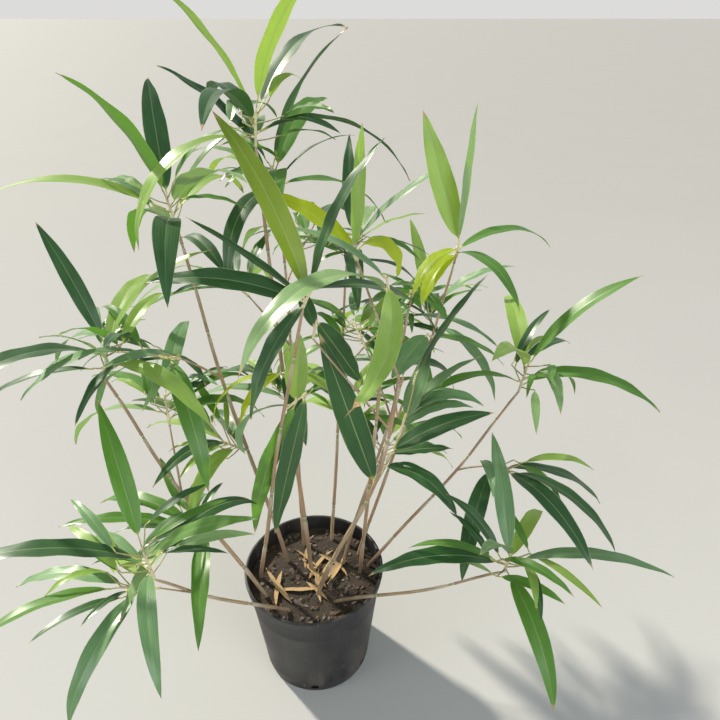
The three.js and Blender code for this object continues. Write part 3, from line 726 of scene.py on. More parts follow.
class Draws:
    def __init__(self, seed):
        self.state = seed * draws["seedFactor"]
        for _ in range(draws["skipped"]):
            self.next()

    def next(self):
        self.state = self.state * draws["factor"] % draws["modulus"]
        return self.state / draws["modulus"]

    def __call__(self, reach):
        return reach * (2 * self.next() - 1)


def ruleLeaves(spray):
    draw = Draws(spray["seed"])
    leaves = []
    for k in range(spray["count"]):
        share = (k + 0.5) / spray["count"]
        leaf = {"at": leafRule["first"] + leafRule["span"] * share}
        if spray["kind"] == "tip":
            rule = tipRule
            leaf["heading"] = spray["heading"] + rule["turn"] * k + draw(rule["turnDraw"])
            rise = rule["rise"] + rule["riseGain"] * share ** rule["risePower"]
        else:
            rule = sideRule
            turn = (1 if k % 2 else -1) * (rule["turn"] + rule["turnGain"] * share)
            leaf["heading"] = spray["heading"] + turn + draw(rule["turnDraw"])
            rise = spray["rise"] * rule["stemRise"] + rule["rise"] + rule["riseGain"] * share
        leaf["rise"] = rise + draw(rule["riseDraw"])
        leaf["bend"] = rule["bend"] + rule["bendGain"] * share + draw(rule["bendDraw"])
        swell = leafRule["length"] + leafRule["swell"] * math.sin(math.pi * share)
        leaf["length"] = spray["leaf"] * (swell + draw(leafRule["lengthDraw"]))
        leaf["width"] = leaf["length"] * leafRule["width"] * (1 + draw(leafRule["widthDraw"]))
        leaf["sweep"] = draw(leafRule["sweepDraw"])
        leaf["roll"] = draw(leafRule["rollDraw"])
        leaf["twig"] = leafRule["twig"] + draw(leafRule["twigDraw"])
        leaves.append(leaf)
    return leaves


def placedLeaves(table):
    keys = ("at", "heading", "rise", "bend", "length", "width", "sweep", "roll", "tone")
    return [{**dict(zip(keys, row)), "twig": 0} for row in table]


limbKeys = ("on", "at", "heading", "rise", "bend", "length", "radius")
boughs = {name: dict(zip(limbKeys, row)) for name, row in boughTable.items()}
canes = {
    name: {"foot": row[0:2], "top": row[2:5], "bow": row[5:7], "radius": row[7]}
    for name, row in caneTable.items()
}


def allSprays():
    sprays = {}
    for name, (*stem, leaves) in frontSprays.items():
        sprays[name] = {**dict(zip(limbKeys, stem)), "leaves": placedLeaves(leaves)}
    for letter, (seed, count, leaf) in tipSprays.items():
        spray = {"on": "culm_" + letter, "at": 1, "kind": "tip", "heading": seed * headingFactor % 360}
        sprays["spray_" + letter] = {**spray, **tipStem, "seed": seed, "count": count, "leaf": leaf}
    for letter, (seed, count, leaf) in sideSprays.items():
        bough = boughs["bough_" + letter]
        spray = {"on": "bough_" + letter, "at": 1, "kind": "side", "heading": bough["heading"]}
        spray.update(sideStem, rise=bough["rise"] - sideStem["drop"])
        sprays[f"spray_{letter}2"] = {**spray, "seed": seed, "count": count, "leaf": leaf}
    for letter, (at, heading, seed, count, leaf) in lowSprays.items():
        spray = {"on": "culm_" + letter, "at": at, "kind": "side", "heading": heading}
        sprays[f"spray_{letter}3"] = {**spray, **lowStem, "seed": seed, "count": count, "leaf": leaf}
    return sprays


lines = {name: caneLine(cane, growth["caneSteps"]) for name, cane in canes.items()}
for boughName, bough in boughs.items():
    lines[boughName] = arc(along(lines[bough["on"]], bough["at"]), bough, growth["boughSteps"])
lineArrays = {name: np.array(line) for name, line in lines.items()}

# Blades that have their place: middle, normal, half width and the limb that carries them
kept = {"point": [], "normal": [], "half": [], "own": []}


def hasRoom(rows, own):
    points, normals = np.array([row[0] for row in rows]), np.array([row[2] for row in rows])
    halves = np.array([row[3] for row in rows])
    number = np.arange(len(rows))
    if kept["own"]:
        offset = np.array(kept["point"])[None] - points[:, None]
        byMine = np.abs((offset * normals[:, None]).sum(2))
        byTheirs = np.abs((offset * np.array(kept["normal"])[None]).sum(2))
        reach = room["leafReach"] * (halves[:, None] + np.array(kept["half"])[None])
        near = (np.linalg.norm(offset, axis=2) < reach) & (np.minimum(byMine, byTheirs) < room["leafRoom"])
        ownLeaf = np.array([other == own for other in kept["own"]])[None]
        skipped = ownLeaf & (number[:, None] < room["firstRowByOwnLeaf"])
        if (near & (number[:, None] >= room["firstRow"]) & ~skipped).any():
            return False
    for name, line in lineArrays.items():
        a, run = line[:-1], line[1:] - line[:-1]
        share = ((points[:, None] - a[None]) * run[None]).sum(2) / (run * run).sum(1)
        nearest = a[None] + np.clip(share, 0, 1)[..., None] * run[None]
        offset = nearest - points[:, None]
        apart = np.linalg.norm(offset, axis=2)
        best = apart.argmin(1)
        offset, apart = offset[number, best], apart[number, best]
        close = apart < halves * room["limbReach"] + room["leafRoom"]
        close &= np.abs((offset * normals).sum(1)) < room["limbRoom"]
        first = room["firstRowByOwnLimb"] if name == own else room["firstRow"]
        if (close & (number >= first)).any():
            return False
    return True


def keepBlade(rows, own):
    for point, side, normal, half in rows[room["firstRow"]:]:
        kept["point"].append(tuple(point))
        kept["normal"].append(tuple(normal))
        kept["half"].append(half)
        kept["own"].append(own)


def findPlace(leaf, start, own, blocks, placed):
    for turn in room["turns"]:
        turned = {**leaf, "heading": leaf["heading"] + turn}
        root = start + direction(turned["heading"], turned["rise"]) * leaf["twig"]
        rows = leafFrame(root, turned, room["testSteps"])
        if not placed and not hasRoom(rows, own):
            continue
        tree = plainBlade(start, root, turned)
        if any(tree.overlap(block) for block in blocks):
            continue
        keepBlade(rows, own)
        return {**turned, "start": start, "root": root, "tree": tree}
    return None


def growSprays():
    limbTrees = {name: nodeTree(name) for name in lines}
    massTrees = []
    grown = {}
    for name, spray in allSprays().items():
        stem = arc(along(lines[spray["on"]], spray["at"]), spray, growth["stemSteps"])
        blocks = [tree for limb, tree in limbTrees.items() if limb != spray["on"]] + massTrees
        leaves = []
        for leaf in spray.get("leaves") or ruleLeaves(spray):
            found = findPlace(leaf, along(stem, leaf["at"]), spray["on"], blocks, "leaves" in spray)
            if found:
                leaves.append(found)
        massTrees.append(nodeTree(name))
        grown[name] = {**spray, "stem": stem, "grown": leaves}
    return grown, limbTrees


sprays, limbTrees = growSprays()
print("leaves by the source's rule:", sum(len(spray["grown"]) for spray in sprays.values()))

# Finer growth: short side twigs on the rule's sprays, each with small leaves inside the mass's box
finer = {
    "seed": 17, "twigs": 7, "from": 0.12, "to": 0.95, "turn": 68, "turnDraw": 24, "twig": (24, 52),
    "rise": (6, 44), "leaves": 3, "spread": 34, "length": (0.40, 0.68), "width": (0.13, 0.16),
    "leafRise": (-8, 24), "bend": (36, 84), "sweep": 12, "roll": 16, "stalk": 5, "reach": 12,
}


def insideReach(points, low, high):
    reach = finer["reach"] * mm
    return all(low[i] - reach <= point[i] <= high[i] + reach for point in points for i in (0, 1, 2))


def growFiner():
    chance = random.Random(finer["seed"])
    nodeTrees = {name: nodeTree(name) for name in sprays}
    small = 0
    for name, spray in sprays.items():
        if name in frontSprays:
            continue
        low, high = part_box(name)
        blocks = [tree for limb, tree in limbTrees.items() if limb != spray["on"]]
        blocks += [tree for other, tree in nodeTrees.items() if other != name]
        for k in range(finer["twigs"]):
            start = along(spray["stem"], lerp(finer["from"], finer["to"], (k + 0.5) / finer["twigs"]))
            turn = (1 if k % 2 else -1) * finer["turn"]
            heading = spray["heading"] + turn + chance.uniform(-finer["turnDraw"], finer["turnDraw"])
            rise = chance.uniform(*finer["rise"])
            end = start + direction(heading, rise) * chance.uniform(*finer["twig"])
            for j in range(finer["leaves"]):
                turn = (j - (finer["leaves"] - 1) / 2) * 2 * finer["spread"]
                length = spray["leaf"] * chance.uniform(*finer["length"])
                leaf = {
                    "heading": heading + turn, "rise": rise + chance.uniform(*finer["leafRise"]),
                    "bend": chance.uniform(*finer["bend"]), "length": length,
                    "width": length * chance.uniform(*finer["width"]),
                    "sweep": chance.uniform(-finer["sweep"], finer["sweep"]),
                    "roll": chance.uniform(-finer["roll"], finer["roll"]),
                    "twig": finer["stalk"], "on": start,
                }
                found = findPlace(leaf, end, spray["on"], blocks, False)
                if found:
                    tip = arc(found["root"], found, room["testSteps"])
                    if insideReach([point * mm for point in tip], low, high):
                        spray["grown"].append(found)
                        blocks.append(found["tree"])
                        small += 1
    return small


print("smaller leaves on finer twigs:", growFiner())

# The leaf's fine form. Columns go across the blade from one margin to the other. A pair whose name ends
# in From, and stalkEnd, says between which shares of the length a change runs. Other pairs are ranges
leafForm = {
    "columns": (-1, -0.84, -0.6, -0.34, -0.08, 0, 0.08, 0.34, 0.6, 0.84, 1), "rows": 30, "lineSteps": 60,
    "rowsEven": 0.45, "rowsAtEnds": 0.55, "thickness": 0.42, "stalkThickness": 1.5, "marginPower": 6,
    "ribDepth": 0.75, "ribWidth": 0.07, "ribFade": 0.8, "groove": 0.3, "grooveWidth": 0.06,
    "stalkHalf": 1.05, "stalkEnd": (0.03, 0.075), "tipHalf": 0.25, "tipFrom": (0.97, 1.0), "tipNarrows": 0.4,
    "fold": (7, 16), "foldFade": 0.45, "hang": (0.02, 0.10), "twist": 13, "pleat": 0.16, "pleats": 4.5,
    "wave": (0.012, 0.045), "waves": (2.2, 4.6), "waveFrom": (0.05, 0.3), "fullTurn": 6.28,
    "curlFrom": (0.86, 1.0), "shrinkFrom": (0.84, 0.93),
}
# A leaf's place on its maps: where it starts in its cell, and how much of the cell it fills
mapForm = {"number": (0.001, 0.998), "across": (0.06, 0.88), "along": (0.02, 0.96), "cellLength": 5}


def smoothstep(span, x):
    low, high = span
    t = np.clip((x - low) / (high - low), 0, 1)
    return t * t * (3 - 2 * t)


def leafPoint(row, column, under):                     # both sides share the points of the margins
    count = len(leafForm["columns"])
    if under and 0 < column < count - 1:
        return leafForm["rows"] * count + row * (count - 2) + column - 1
    return row * count + column


def leafTopology():
    rows, count = leafForm["rows"], len(leafForm["columns"])
    keys = []
    for r in range(rows - 1):
        for c in range(count - 1):
            keys.append([(r, c, 0), (r + 1, c, 0), (r + 1, c + 1, 0), (r, c + 1, 0)])
            keys.append([(r, c, 1), (r, c + 1, 1), (r + 1, c + 1, 1), (r + 1, c, 1)])
    for r, turn in ((0, 1), (rows - 1, -1)):
        ends = [(r, c, 0) for c in range(count)] + [(r, c, 1) for c in range(count - 2, 0, -1)]
        keys.append(ends[::turn])
    faces = [tuple(leafPoint(*key) for key in face) for face in keys]
    margins = [(r, c) for r in range(2, rows - 1) for c in (0, count - 1)]
    edges = [(leafPoint(r, c, 0), leafPoint(r + 1, c, 0)) for r, c in margins]
    return faces, [key for face in keys for key in face], edges, [face[0][0] for face in keys]


leafFaces, leafCorners, leafEdges, leafFaceRows = leafTopology()
cornerRow, cornerColumn, cornerUnder = (np.array([key[i] for key in leafCorners]) for i in (0, 1, 2))
evenTimes = np.arange(leafForm["rows"]) / (leafForm["rows"] - 1)
leafTimes = leafForm["rowsEven"] * evenTimes
leafTimes = leafTimes + leafForm["rowsAtEnds"] * (1 - np.cos(math.pi * evenTimes)) / 2
leafHalves = np.array([bladeWidth(t) for t in leafTimes])


def leafRows(leaf, twist):                             # middle, side and normal of each row
    steps = leafForm["lineSteps"]
    line = arc(leaf["root"], leaf, steps)
    points, ways = np.array(line), np.array(tangents(line))
    share = leafTimes * steps
    at = np.minimum(share.astype(int), steps - 1)
    part = (share - at)[:, None]
    middle = points[at] * (1 - part) + points[at + 1] * part
    way = ways[at] * (1 - part) + ways[at + 1] * part
    heading = np.radians(leaf["heading"] + leaf["sweep"] * leafTimes)
    level = np.stack([-np.sin(heading), np.cos(heading), np.zeros_like(heading)], 1)
    upright = np.cross(way, level)
    upright /= np.linalg.norm(upright, axis=1)[:, None]
    curl = leaf.get("curl", 0) * smoothstep(leafForm["curlFrom"], leafTimes)
    roll = np.radians(leaf["roll"] + twist * leafTimes + curl)
    side = level * np.cos(roll)[:, None] + upright * np.sin(roll)[:, None]
    normal = np.cross(way, side)
    normal /= np.linalg.norm(normal, axis=1)[:, None]
    return middle, side, normal


def leafHalf(leaf):                                    # half the blade's width at each row
    half = np.maximum(leaf["width"] / 2 * leafHalves, 0)
    half = np.where(leafTimes < bladeForm["stalkShare"], leafForm["stalkHalf"], half)
    half = half * (1 - smoothstep(leafForm["tipFrom"], leafTimes) * leafForm["tipNarrows"])
    half[-1] = leafForm["tipHalf"]
    return half * (1 - leaf.get("shrink", 0) * smoothstep(leafForm["shrinkFrom"], leafTimes))


def leafSurface(leaf, chance):
    form = leafForm
    middle, side, normal = leafRows(leaf, chance.uniform(-1, 1) * form["twist"])
    half = leafHalf(leaf)
    stalk = 1 - smoothstep(form["stalkEnd"], leafTimes)
    fold = math.radians(chance.uniform(*form["fold"])) * (1 - form["foldFade"] * leafTimes)
    hang = chance.uniform(*form["hang"])
    wave, waves = chance.uniform(*form["wave"]), chance.uniform(*form["waves"])
    phases = (chance.uniform(0, form["fullTurn"]), chance.uniform(0, form["fullTurn"]))
    s = np.array(form["columns"])[None]
    phase = np.where(s < 0, phases[0], phases[1])
    rise = np.abs(s) * half[:, None] * np.sin(fold)[:, None] - hang * s * s * half[:, None]
    ripple = np.sin(2 * math.pi * waves * leafTimes[:, None] + phase) * s * s * wave * leaf["width"]
    pleat = form["pleat"] * np.cos(2 * math.pi * form["pleats"] * s) * (1 - s * s)
    blade = (1 - stalk)[:, None]
    groove = form["groove"] * np.exp(-(s / form["grooveWidth"]) ** 2) * blade
    ripple = ripple * blade * smoothstep(form["waveFrom"], leafTimes)[:, None]
    rise = rise * blade + ripple + pleat * blade - groove
    flat = s * (half * np.cos(fold))[:, None]
    top = middle[:, None] + side[:, None] * flat[..., None] + normal[:, None] * rise[..., None]
    thick = form["thickness"] + (form["stalkThickness"] - form["thickness"]) * stalk
    thick = thick[:, None] * (1 - np.abs(s) ** form["marginPower"])
    rib = form["ribDepth"] * (1 - form["ribFade"] * leafTimes)[:, None] * np.exp(-(s / form["ribWidth"]) ** 2)
    bottom = top - normal[:, None] * (thick + rib)[..., None]
    return np.concatenate([top.reshape(-1, 3), bottom[:, 1:-1].reshape(-1, 3)])


def addLeaf(shape, points, number, cells, finish, dryFinish, dryShare):
    across = (np.array(leafForm["columns"])[cornerColumn] + 1) / 2
    along = leafTimes[cornerRow]
    start, fill = mapForm["number"]
    veins = np.stack([across + 2 * cornerUnder, number + start + fill * along], 1)
    rowsOfCells, columnsOfCells = cells
    cell = 2 * number + cornerUnder
    start, fill = mapForm["across"]
    x = (cell % columnsOfCells + start + fill * across) / columnsOfCells
    start, fill = mapForm["along"]
    y = (cell // columnsOfCells + start + fill * along) / rowsOfCells
    picked = [dryFinish if leafTimes[row] > 1 - dryShare else finish for row in leafFaceRows]
    shape.add(points, leafFaces, veins.tolist(), np.stack([x, y], 1).tolist(), picked, leafEdges)


leafPieces = {
    "leaves_front_left": ("spray_a", "spray_a2", "spray_l3"),
    "leaves_front_middle": ("spray_b", "spray_c"),
    "leaves_front_right": ("spray_e", "spray_e2", "spray_d"),
    "leaves_fan": ("spray_f", "spray_g"),
    "leaves_low_front": ("spray_m", "spray_m2", "spray_n"),
    "leaves_left": ("spray_h", "spray_h2", "spray_h3", "spray_k", "spray_k2", "spray_k3"),
    "leaves_back": ("spray_i", "spray_i2", "spray_i3", "spray_j", "spray_j2", "spray_j3"),
    "leaves_top": ("spray_l", "spray_l2", "spray_d2"),
    "leaves_right": ("spray_o", "spray_o2", "spray_p", "spray_p2", "spray_p3"),
}
# Rule leaves draw their tone by chance, so some carry the painted shade of deep and the painted sheen of pale
toneShares = (("deep", 0.28), ("mid", 0.30), ("blue", 0.14), ("fresh", 0.20), ("pale", 0.08))
# Leaves with a dry tip: its share of the length, how far it curls and how much it shrinks
dryTips = {("spray_c", 2): (0.15, 130, 0.78), ("spray_c", 0): (0.035, 0, 0), ("spray_f", 0): (0.0, 0, 0)}
usualDry = (0.0, 0.0, 0.0, 0.02, 0.03, 0.05)


def pickTone(chance):
    drawn = chance.random()
    for tone, share in toneShares:
        if drawn < share:
            return tone
        drawn -= share
    return toneShares[0][0]


def makeLeaves(finishes, dry):
    total = 0
    for pieceName, names in leafPieces.items():
        wanted = []
        chance = random.Random(pieceName)
        for name in names:
            for index, leaf in enumerate(sprays[name]["grown"]):
                share, curl, shrink = dryTips.get((name, index), (chance.choice(usualDry), 0, 0))
                tone = leaf.get("tone") or pickTone(chance)
                wanted.append((tone, {**leaf, "curl": curl, "shrink": shrink}, share))
        tones = [tone for tone in finishes if any(tone == row[0] for row in wanted)]
        rowsOfCells = max(2, round(math.sqrt(2 * len(wanted) / mapForm["cellLength"])))
        cells = (rowsOfCells, math.ceil(2 * len(wanted) / rowsOfCells))
        shape = Shape()
        for number, (tone, leaf, share) in enumerate(wanted):
            points = leafSurface(leaf, chance)
            addLeaf(shape, points, number, cells, tones.index(tone), len(tones), share)
        materials = [finishes[tone] for tone in tones] + [dry]
        shape.piece(pieceName, materials, "leaf", *names)
        total += len(wanted)
    return total


leafFinishes = {name: makeLeafFinish(name, tone) for name, tone in leafTones.items()}
dryFinish = makeDryFinish()
print("leaves made:", makeLeaves(leafFinishes, dryFinish))


# Round limbs: rings of points along a line, each with its own radius and place on the map
def tubeFaces(rings, count):                           # the wall between the rings, then both ends
    faces = []
    for i in range(rings - 1):
        for k in range(count):
            a, b = i * count + k, i * count + (k + 1) % count
            faces.append((a, b, b + count, a + count))
    last = (rings - 1) * count
    return faces + [tuple(range(count - 1, -1, -1)), tuple(range(last, last + count))]


def addTube(shape, line, radii, sides, marks):
    ways = tangents(line)
    side = Vector((1, 0, 0)) if abs(ways[0].x) < 0.9 else Vector((0, 1, 0))
    points, veins = [], []
    for point, way, radius in zip(line, ways, radii):
        side = (side - way * side.dot(way)).normalized()
        across = way.cross(side)
        for j in range(sides):
            angle = 2 * math.pi * j / sides
            points.append(point + (side * math.cos(angle) + across * math.sin(angle)) * radius)
    for low, high in zip(marks, marks[1:]):
        for j in range(sides):
            u, v = j / sides, (j + 1) / sides
            veins += [(u, low), (v, low), (v, high), (u, high)]
    veins += [(0.5, marks[0])] * sides + [(0.5, marks[-1])] * sides
    shape.add(points, tubeFaces(len(line), sides), veins)


# Canes and branches: a ring at the foot of each internode, and a sheath round most of its length
limbForms = {
    "cane": {"steps": 60, "sides": 16, "internode": (92, 150), "scale": 1, "taper": growth["caneTaper"]},
    "branch": {"steps": 24, "sides": 12, "internode": (48, 74), "scale": 0.6, "taper": growth["boughTaper"]},
}
caneForm = {
    "seed": 5, "sunk": 3, "zigzag": 0.7, "swell": (0.75, 0.5), "swellFrom": 0.15, "lastMark": 0.01,
    "ring": 0.75, "ringAt": 0.012, "ringWidth": 0.016, "nextRing": 0.55, "nextWidth": 0.012,
    "sheath": 0.42, "sheathGain": 0.5, "sheathStart": 0.02, "sheathEnd": 0.9,
    "shares": (0, 0.012, 0.03, 0.05, 0.09, 0.2, 0.32, 0.44, 0.56, 0.68, 0.8, 0.885, 0.9, 0.915, 0.95,
               0.975, 0.99),
}


def caneRadius(base, share, scale):
    form = caneForm
    ring = form["ring"] * scale * math.exp(-((share - form["ringAt"]) / form["ringWidth"]) ** 2)
    ring += form["nextRing"] * form["ring"] * scale * math.exp(-((1 - share) / form["nextWidth"]) ** 2)
    sheathed = form["sheathStart"] < share < form["sheathEnd"]
    sheath = form["sheath"] * scale * (1 + form["sheathGain"] * share) if sheathed else 0
    return base + ring + sheath


def addCane(shape, line, radius, form, chance):
    total, scale = runLengths(line)[-1], form["scale"]
    places, marks, radii, kinks = [], [], [], []
    start, number = 0.0, 0
    least, more = caneForm["swell"]
    while start < total:
        swell = least + more * math.sin(math.pi * min(1, start / total + caneForm["swellFrom"]))
        length = chance.uniform(*form["internode"]) * swell
        for share in caneForm["shares"]:
            place = start + share * length
            if place > total:
                break
            places.append(place)
            marks.append(number + share)
            radii.append(caneRadius(radius * lerp(1, form["taper"], place / total), share, scale))
            kinks.append((1 if number % 2 else -1) * math.sin(math.pi * share) * caneForm["zigzag"] * scale)
        start += length
        number += 1
    places.append(total)
    marks.append(marks[-1] + caneForm["lastMark"])
    radii.append(radius * form["taper"])
    kinks.append(0)
    sway = Vector((math.cos(chance.uniform(0, 6)), math.sin(chance.uniform(0, 6)), 0))
    path = [along(line, place / total) + sway * kink for place, kink in zip(places, kinks)]
    addTube(shape, path, radii, form["sides"], marks)


def makeLimb(kind, name, line, radius, finish, chance):
    shape = Shape()
    addCane(shape, line, radius, limbForms[kind], chance)
    shape.piece(kind + "_" + name.split("_")[1], [finish], "cane", name)


def makeCanes(finish):
    chance = random.Random(caneForm["seed"])
    for name, cane in canes.items():
        line = caneLine(cane, limbForms["cane"]["steps"])
        line[0] = line[0] - Vector((0, 0, caneForm["sunk"]))
        makeLimb("cane", name, line, cane["radius"], finish, chance)
    for name, bough in boughs.items():
        line = arc(along(lines[bough["on"]], bough["at"]), bough, limbForms["branch"]["steps"])
        makeLimb("branch", name, line, bough["radius"], finish, chance)


makeCanes(makeCaneFinish())
print("canes and branches made")

# Stems, twigs and the sheaths that wrap them up to each leaf
stemForm = {
    "seed": 23, "sides": 10, "steps": 12, "twigSides": 8, "twigSag": 1.5, "twigSunk": 2,
    "sheathBelow": (16, 30), "sheathSteps": 4, "sheathRoom": 0.35, "sheathGain": 0.05,
    "tongue": 9, "tongueShares": (0.45, 1.0), "tongueNarrows": 0.86, "tongueTip": 1.35,
}
sideTwig = {"radii": (1.3, 1.2, 1.1, 1.0), "marks": (0, 0.4, 0.8, 1)}
leafTwig = {"radii": (1.5, 1.25, 1.05), "marks": (0, 0.5, 1)}
paperFlaps = {"spray_e": (26, 4.4), "spray_g": (20, 4.8), "spray_c": (14, 3.4)}   # length, widest radius
flapForm = {"shares": (0, 0.25, 0.5, 0.75, 1), "radii": (0.62, 0.85, 1.0, 0.62, 0.3)}


def stemRadius(share):
    return growth["stemRadius"] * lerp(1, growth["stemTaper"], share)


def addSheath(shape, spray, leaf, chance):
    stem, steps = spray["stem"], stemForm["sheathSteps"]
    below = chance.uniform(*stemForm["sheathBelow"])
    low = max(0.0, leaf["at"] - below / (stem[-1] - stem[0]).length)
    shares = [lerp(low, leaf["at"], k / steps) for k in range(steps + 1)]
    way = direction(leaf["heading"], leaf["rise"])
    line = [along(stem, share) for share in shares]
    line += [leaf["start"] + way * stemForm["tongue"] * share for share in stemForm["tongueShares"]]
    spare, gain = stemForm["sheathRoom"], stemForm["sheathGain"]
    radii = [stemRadius(share) + spare + gain * k for k, share in enumerate(shares)]
    radii += [radii[-1] * stemForm["tongueNarrows"], stemForm["tongueTip"]]
    addTube(shape, line, radii, stemForm["twigSides"], [k / 8 for k in range(len(line))])


def addFlap(shape, stem, length, width):               # a loose paper sheath at the stem's foot
    way = (stem[-1] - stem[0]).normalized()
    line = [stem[0] + way * length * share for share in flapForm["shares"]]
    radii = [width * share for share in flapForm["radii"]]
    addTube(shape, line, radii, stemForm["twigSides"], [k / len(line) for k in range(len(line))])


def addTwig(shape, leaf):
    if "on" in leaf:
        middle = leaf["on"].lerp(leaf["start"], 0.5) - Vector((0, 0, stemForm["twigSag"]))
        line, form = [leaf["on"], middle, leaf["start"], leaf["root"]], sideTwig
    else:
        end = leaf["root"] + direction(leaf["heading"], leaf["rise"]) * stemForm["twigSunk"]
        line, form = [leaf["start"], leaf["start"].lerp(leaf["root"], 0.5), end], leafTwig
    addTube(shape, line, form["radii"], stemForm["twigSides"], form["marks"])


def makeStems(stemFinish, paperFinish):
    chance = random.Random(stemForm["seed"])
    stems, sheaths = Shape(), Shape()
    steps = stemForm["steps"]
    marks = [k / steps for k in range(steps + 1)]
    for name, spray in sprays.items():
        line = arc(along(lines[spray["on"]], spray["at"]), spray, steps)
        addTube(stems, line, [stemRadius(share) for share in marks], stemForm["sides"], marks)
        if name in paperFlaps:
            addFlap(sheaths, spray["stem"], *paperFlaps[name])
        for leaf in spray["grown"]:
            if "on" not in leaf:
                addSheath(sheaths, spray, leaf, chance)
            if leaf["twig"] > 0:
                addTwig(stems, leaf)
    stems.piece("twigs", [stemFinish], "cane")
    sheaths.piece("leaf_sheaths", [paperFinish], "cane")


makeStems(makeStemFinish(), makePaperFinish())
print("stems and sheaths made")

# The pot: a moulded body with a stepped rim, ribs under it and drain holes by the foot
potLow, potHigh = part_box("pot")
potForm = {
    "height": potHigh.z / mm, "reach": potHigh.x / mm, "rimReach": 4, "rimDrop": 22, "footRadius": 118,
    "wall": 2.5, "floor": 3, "segments": 144, "levels": (9, 10, 34, 36, 90, 150, 196, 198, 204, 206),
    "bands": (10, 34, 198, 204), "bandStep": 0.5, "ribs": 36, "ribWidth": 1.6, "ribLength": 9,
    "holes": 6, "holeRadius": 9, "holeRise": 16, "drillSides": 32, "drillDepth": 40, "sharp": 28,
}


def potWall(z):                                        # the wall's outer radius at a height
    p = potForm
    return lerp(p["footRadius"], p["reach"] - p["rimReach"], z / p["height"])


def potOutline():                                      # radius and height, up the outside, down the inside
    p = potForm
    foot, mouth, top = p["footRadius"], p["reach"] - p["rimReach"], p["height"]
    low = top - p["rimDrop"]
    neck = potWall(low)
    outer = [(2, 1.5), (foot - 26, 1.5), (foot - 22, 0), (foot - 3, 0), (foot - 0.8, 0.8), (foot, 3)]
    outer += [(potWall(z) + (p["bandStep"] if z in p["bands"] else 0), z) for z in p["levels"]]
    outer += [(neck, low), (neck + 2.6, low + 0.2), (neck + 3.8, low + 1.4)]
    outer += [(mouth + 3.7, top - 6), (mouth + p["rimReach"], top - 4.5), (mouth + p["rimReach"], top - 1.6)]
    outer += [(mouth + 3.3, top - 0.4), (mouth + 1.8, top), (mouth - 0.6, top - 0.1)]
    outer += [(mouth - 1.8, top - 0.9)]
    inner = [(mouth - p["wall"], top - 3), (neck - p["wall"], low), (potWall(200) - p["wall"], 200)]
    inner += [(foot - p["wall"] + 1, 8), (foot - p["wall"] - 1, p["floor"]), (2, p["floor"])]
    return outer + inner


def makePot(finish):
    p = potForm
    outline = potOutline()
    points = [(x * mm, y * mm, z * mm) for r, z in outline for x, y in circle(r, p["segments"])]
    mesh = newMesh("nursery_pot", points, tubeFaces(len(outline), p["segments"]), finish)
    pot = rideFrame("nursery_pot", mesh, "pot", "pot")
    drillSize = {"radius": p["holeRadius"] * mm, "depth": p["drillDepth"] * mm}
    bpy.ops.mesh.primitive_cylinder_add(vertices=p["drillSides"], **drillSize)
    drill = bpy.context.object
    cutter = drill.data.copy()
    bpy.data.objects.remove(drill)
    reach = p["footRadius"] * mm
    for k in range(p["holes"]):
        angle = 2 * math.pi * k / p["holes"] + math.pi / 2
        hole = addObject("hole", cutter)
        hole.location = (reach * math.cos(angle), reach * math.sin(angle), p["holeRise"] * mm)
        hole.rotation_euler = (math.pi / 2, 0, angle + math.pi / 2)
        cut = pot.modifiers.new("hole", "BOOLEAN")
        cut.operation = "DIFFERENCE"
        cut.solver = "EXACT"
        cut.object = hole
        bpy.context.view_layer.update()
        graph = bpy.context.evaluated_depsgraph_get()
        done = bpy.data.meshes.new_from_object(pot.evaluated_get(graph))
        pot.modifiers.clear()
        pot.data = done
        bpy.data.objects.remove(hole)
    pot.data.name = "nursery_pot"
    shade(pot.data)
    pot.data.set_sharp_from_angle(angle=math.radians(p["sharp"]))


def makePotRibs(finish):
    p = potForm
    shape = Shape()
    high = p["height"] - p["rimDrop"]
    low = high - p["ribLength"]
    deep, tip = p["wall"] * 0.4, p["rimReach"] * 0.75
    profile = [(potWall(high) - deep, high + 0.8), (potWall(high) + tip, high + 0.8),
               (potWall(low) + 0.3, low), (potWall(low) - deep, low)]
    faces = [(0, 1, 2, 3), (7, 6, 5, 4), (1, 0, 4, 5), (2, 1, 5, 6), (3, 2, 6, 7), (0, 3, 7, 4)]
    for x, y in circle(1, p["ribs"]):
        out = Vector((x, y, 0))
        side = Vector((-y, x, 0)) * (p["ribWidth"] / 2)
        points = [out * r + Vector((0, 0, z)) + side * sign for sign in (-1, 1) for r, z in profile]
        shape.add(points, faces)
    shade(shape.piece("pot_ribs", [finish], "pot").data, False)


potFinish = makePotFinish()
makePot(potFinish)
makePotRibs(potFinish)

# The potting mix: a filled body with a crumbly top, heaped a little round each cane
soilForm = {
    "rings": 46, "segments": 144, "floor": 3.3, "gap": 0.5, "edgeRise": 2, "waist": 160, "bottomIn": 2,
    "height": 3.6, "scale": 42, "lift": 0.1, "mound": 3.0, "moundWidth": 16,
}


def soilHeight(x, y):
    place = Vector((x, y, 0)) / soilForm["scale"]
    high = soilForm["height"] * (noise.fractal(place, 1.0, 2.2, 5) + soilForm["lift"])
    for cane in canes.values():
        apart = math.hypot(x - cane["foot"][0], y - cane["foot"][1])
        high = lerp(high, soilForm["mound"], math.exp(-(apart / soilForm["moundWidth"]) ** 2))
    return soilTop + high


def soilWall(z):
    return potWall(z) - potForm["wall"] - soilForm["gap"]


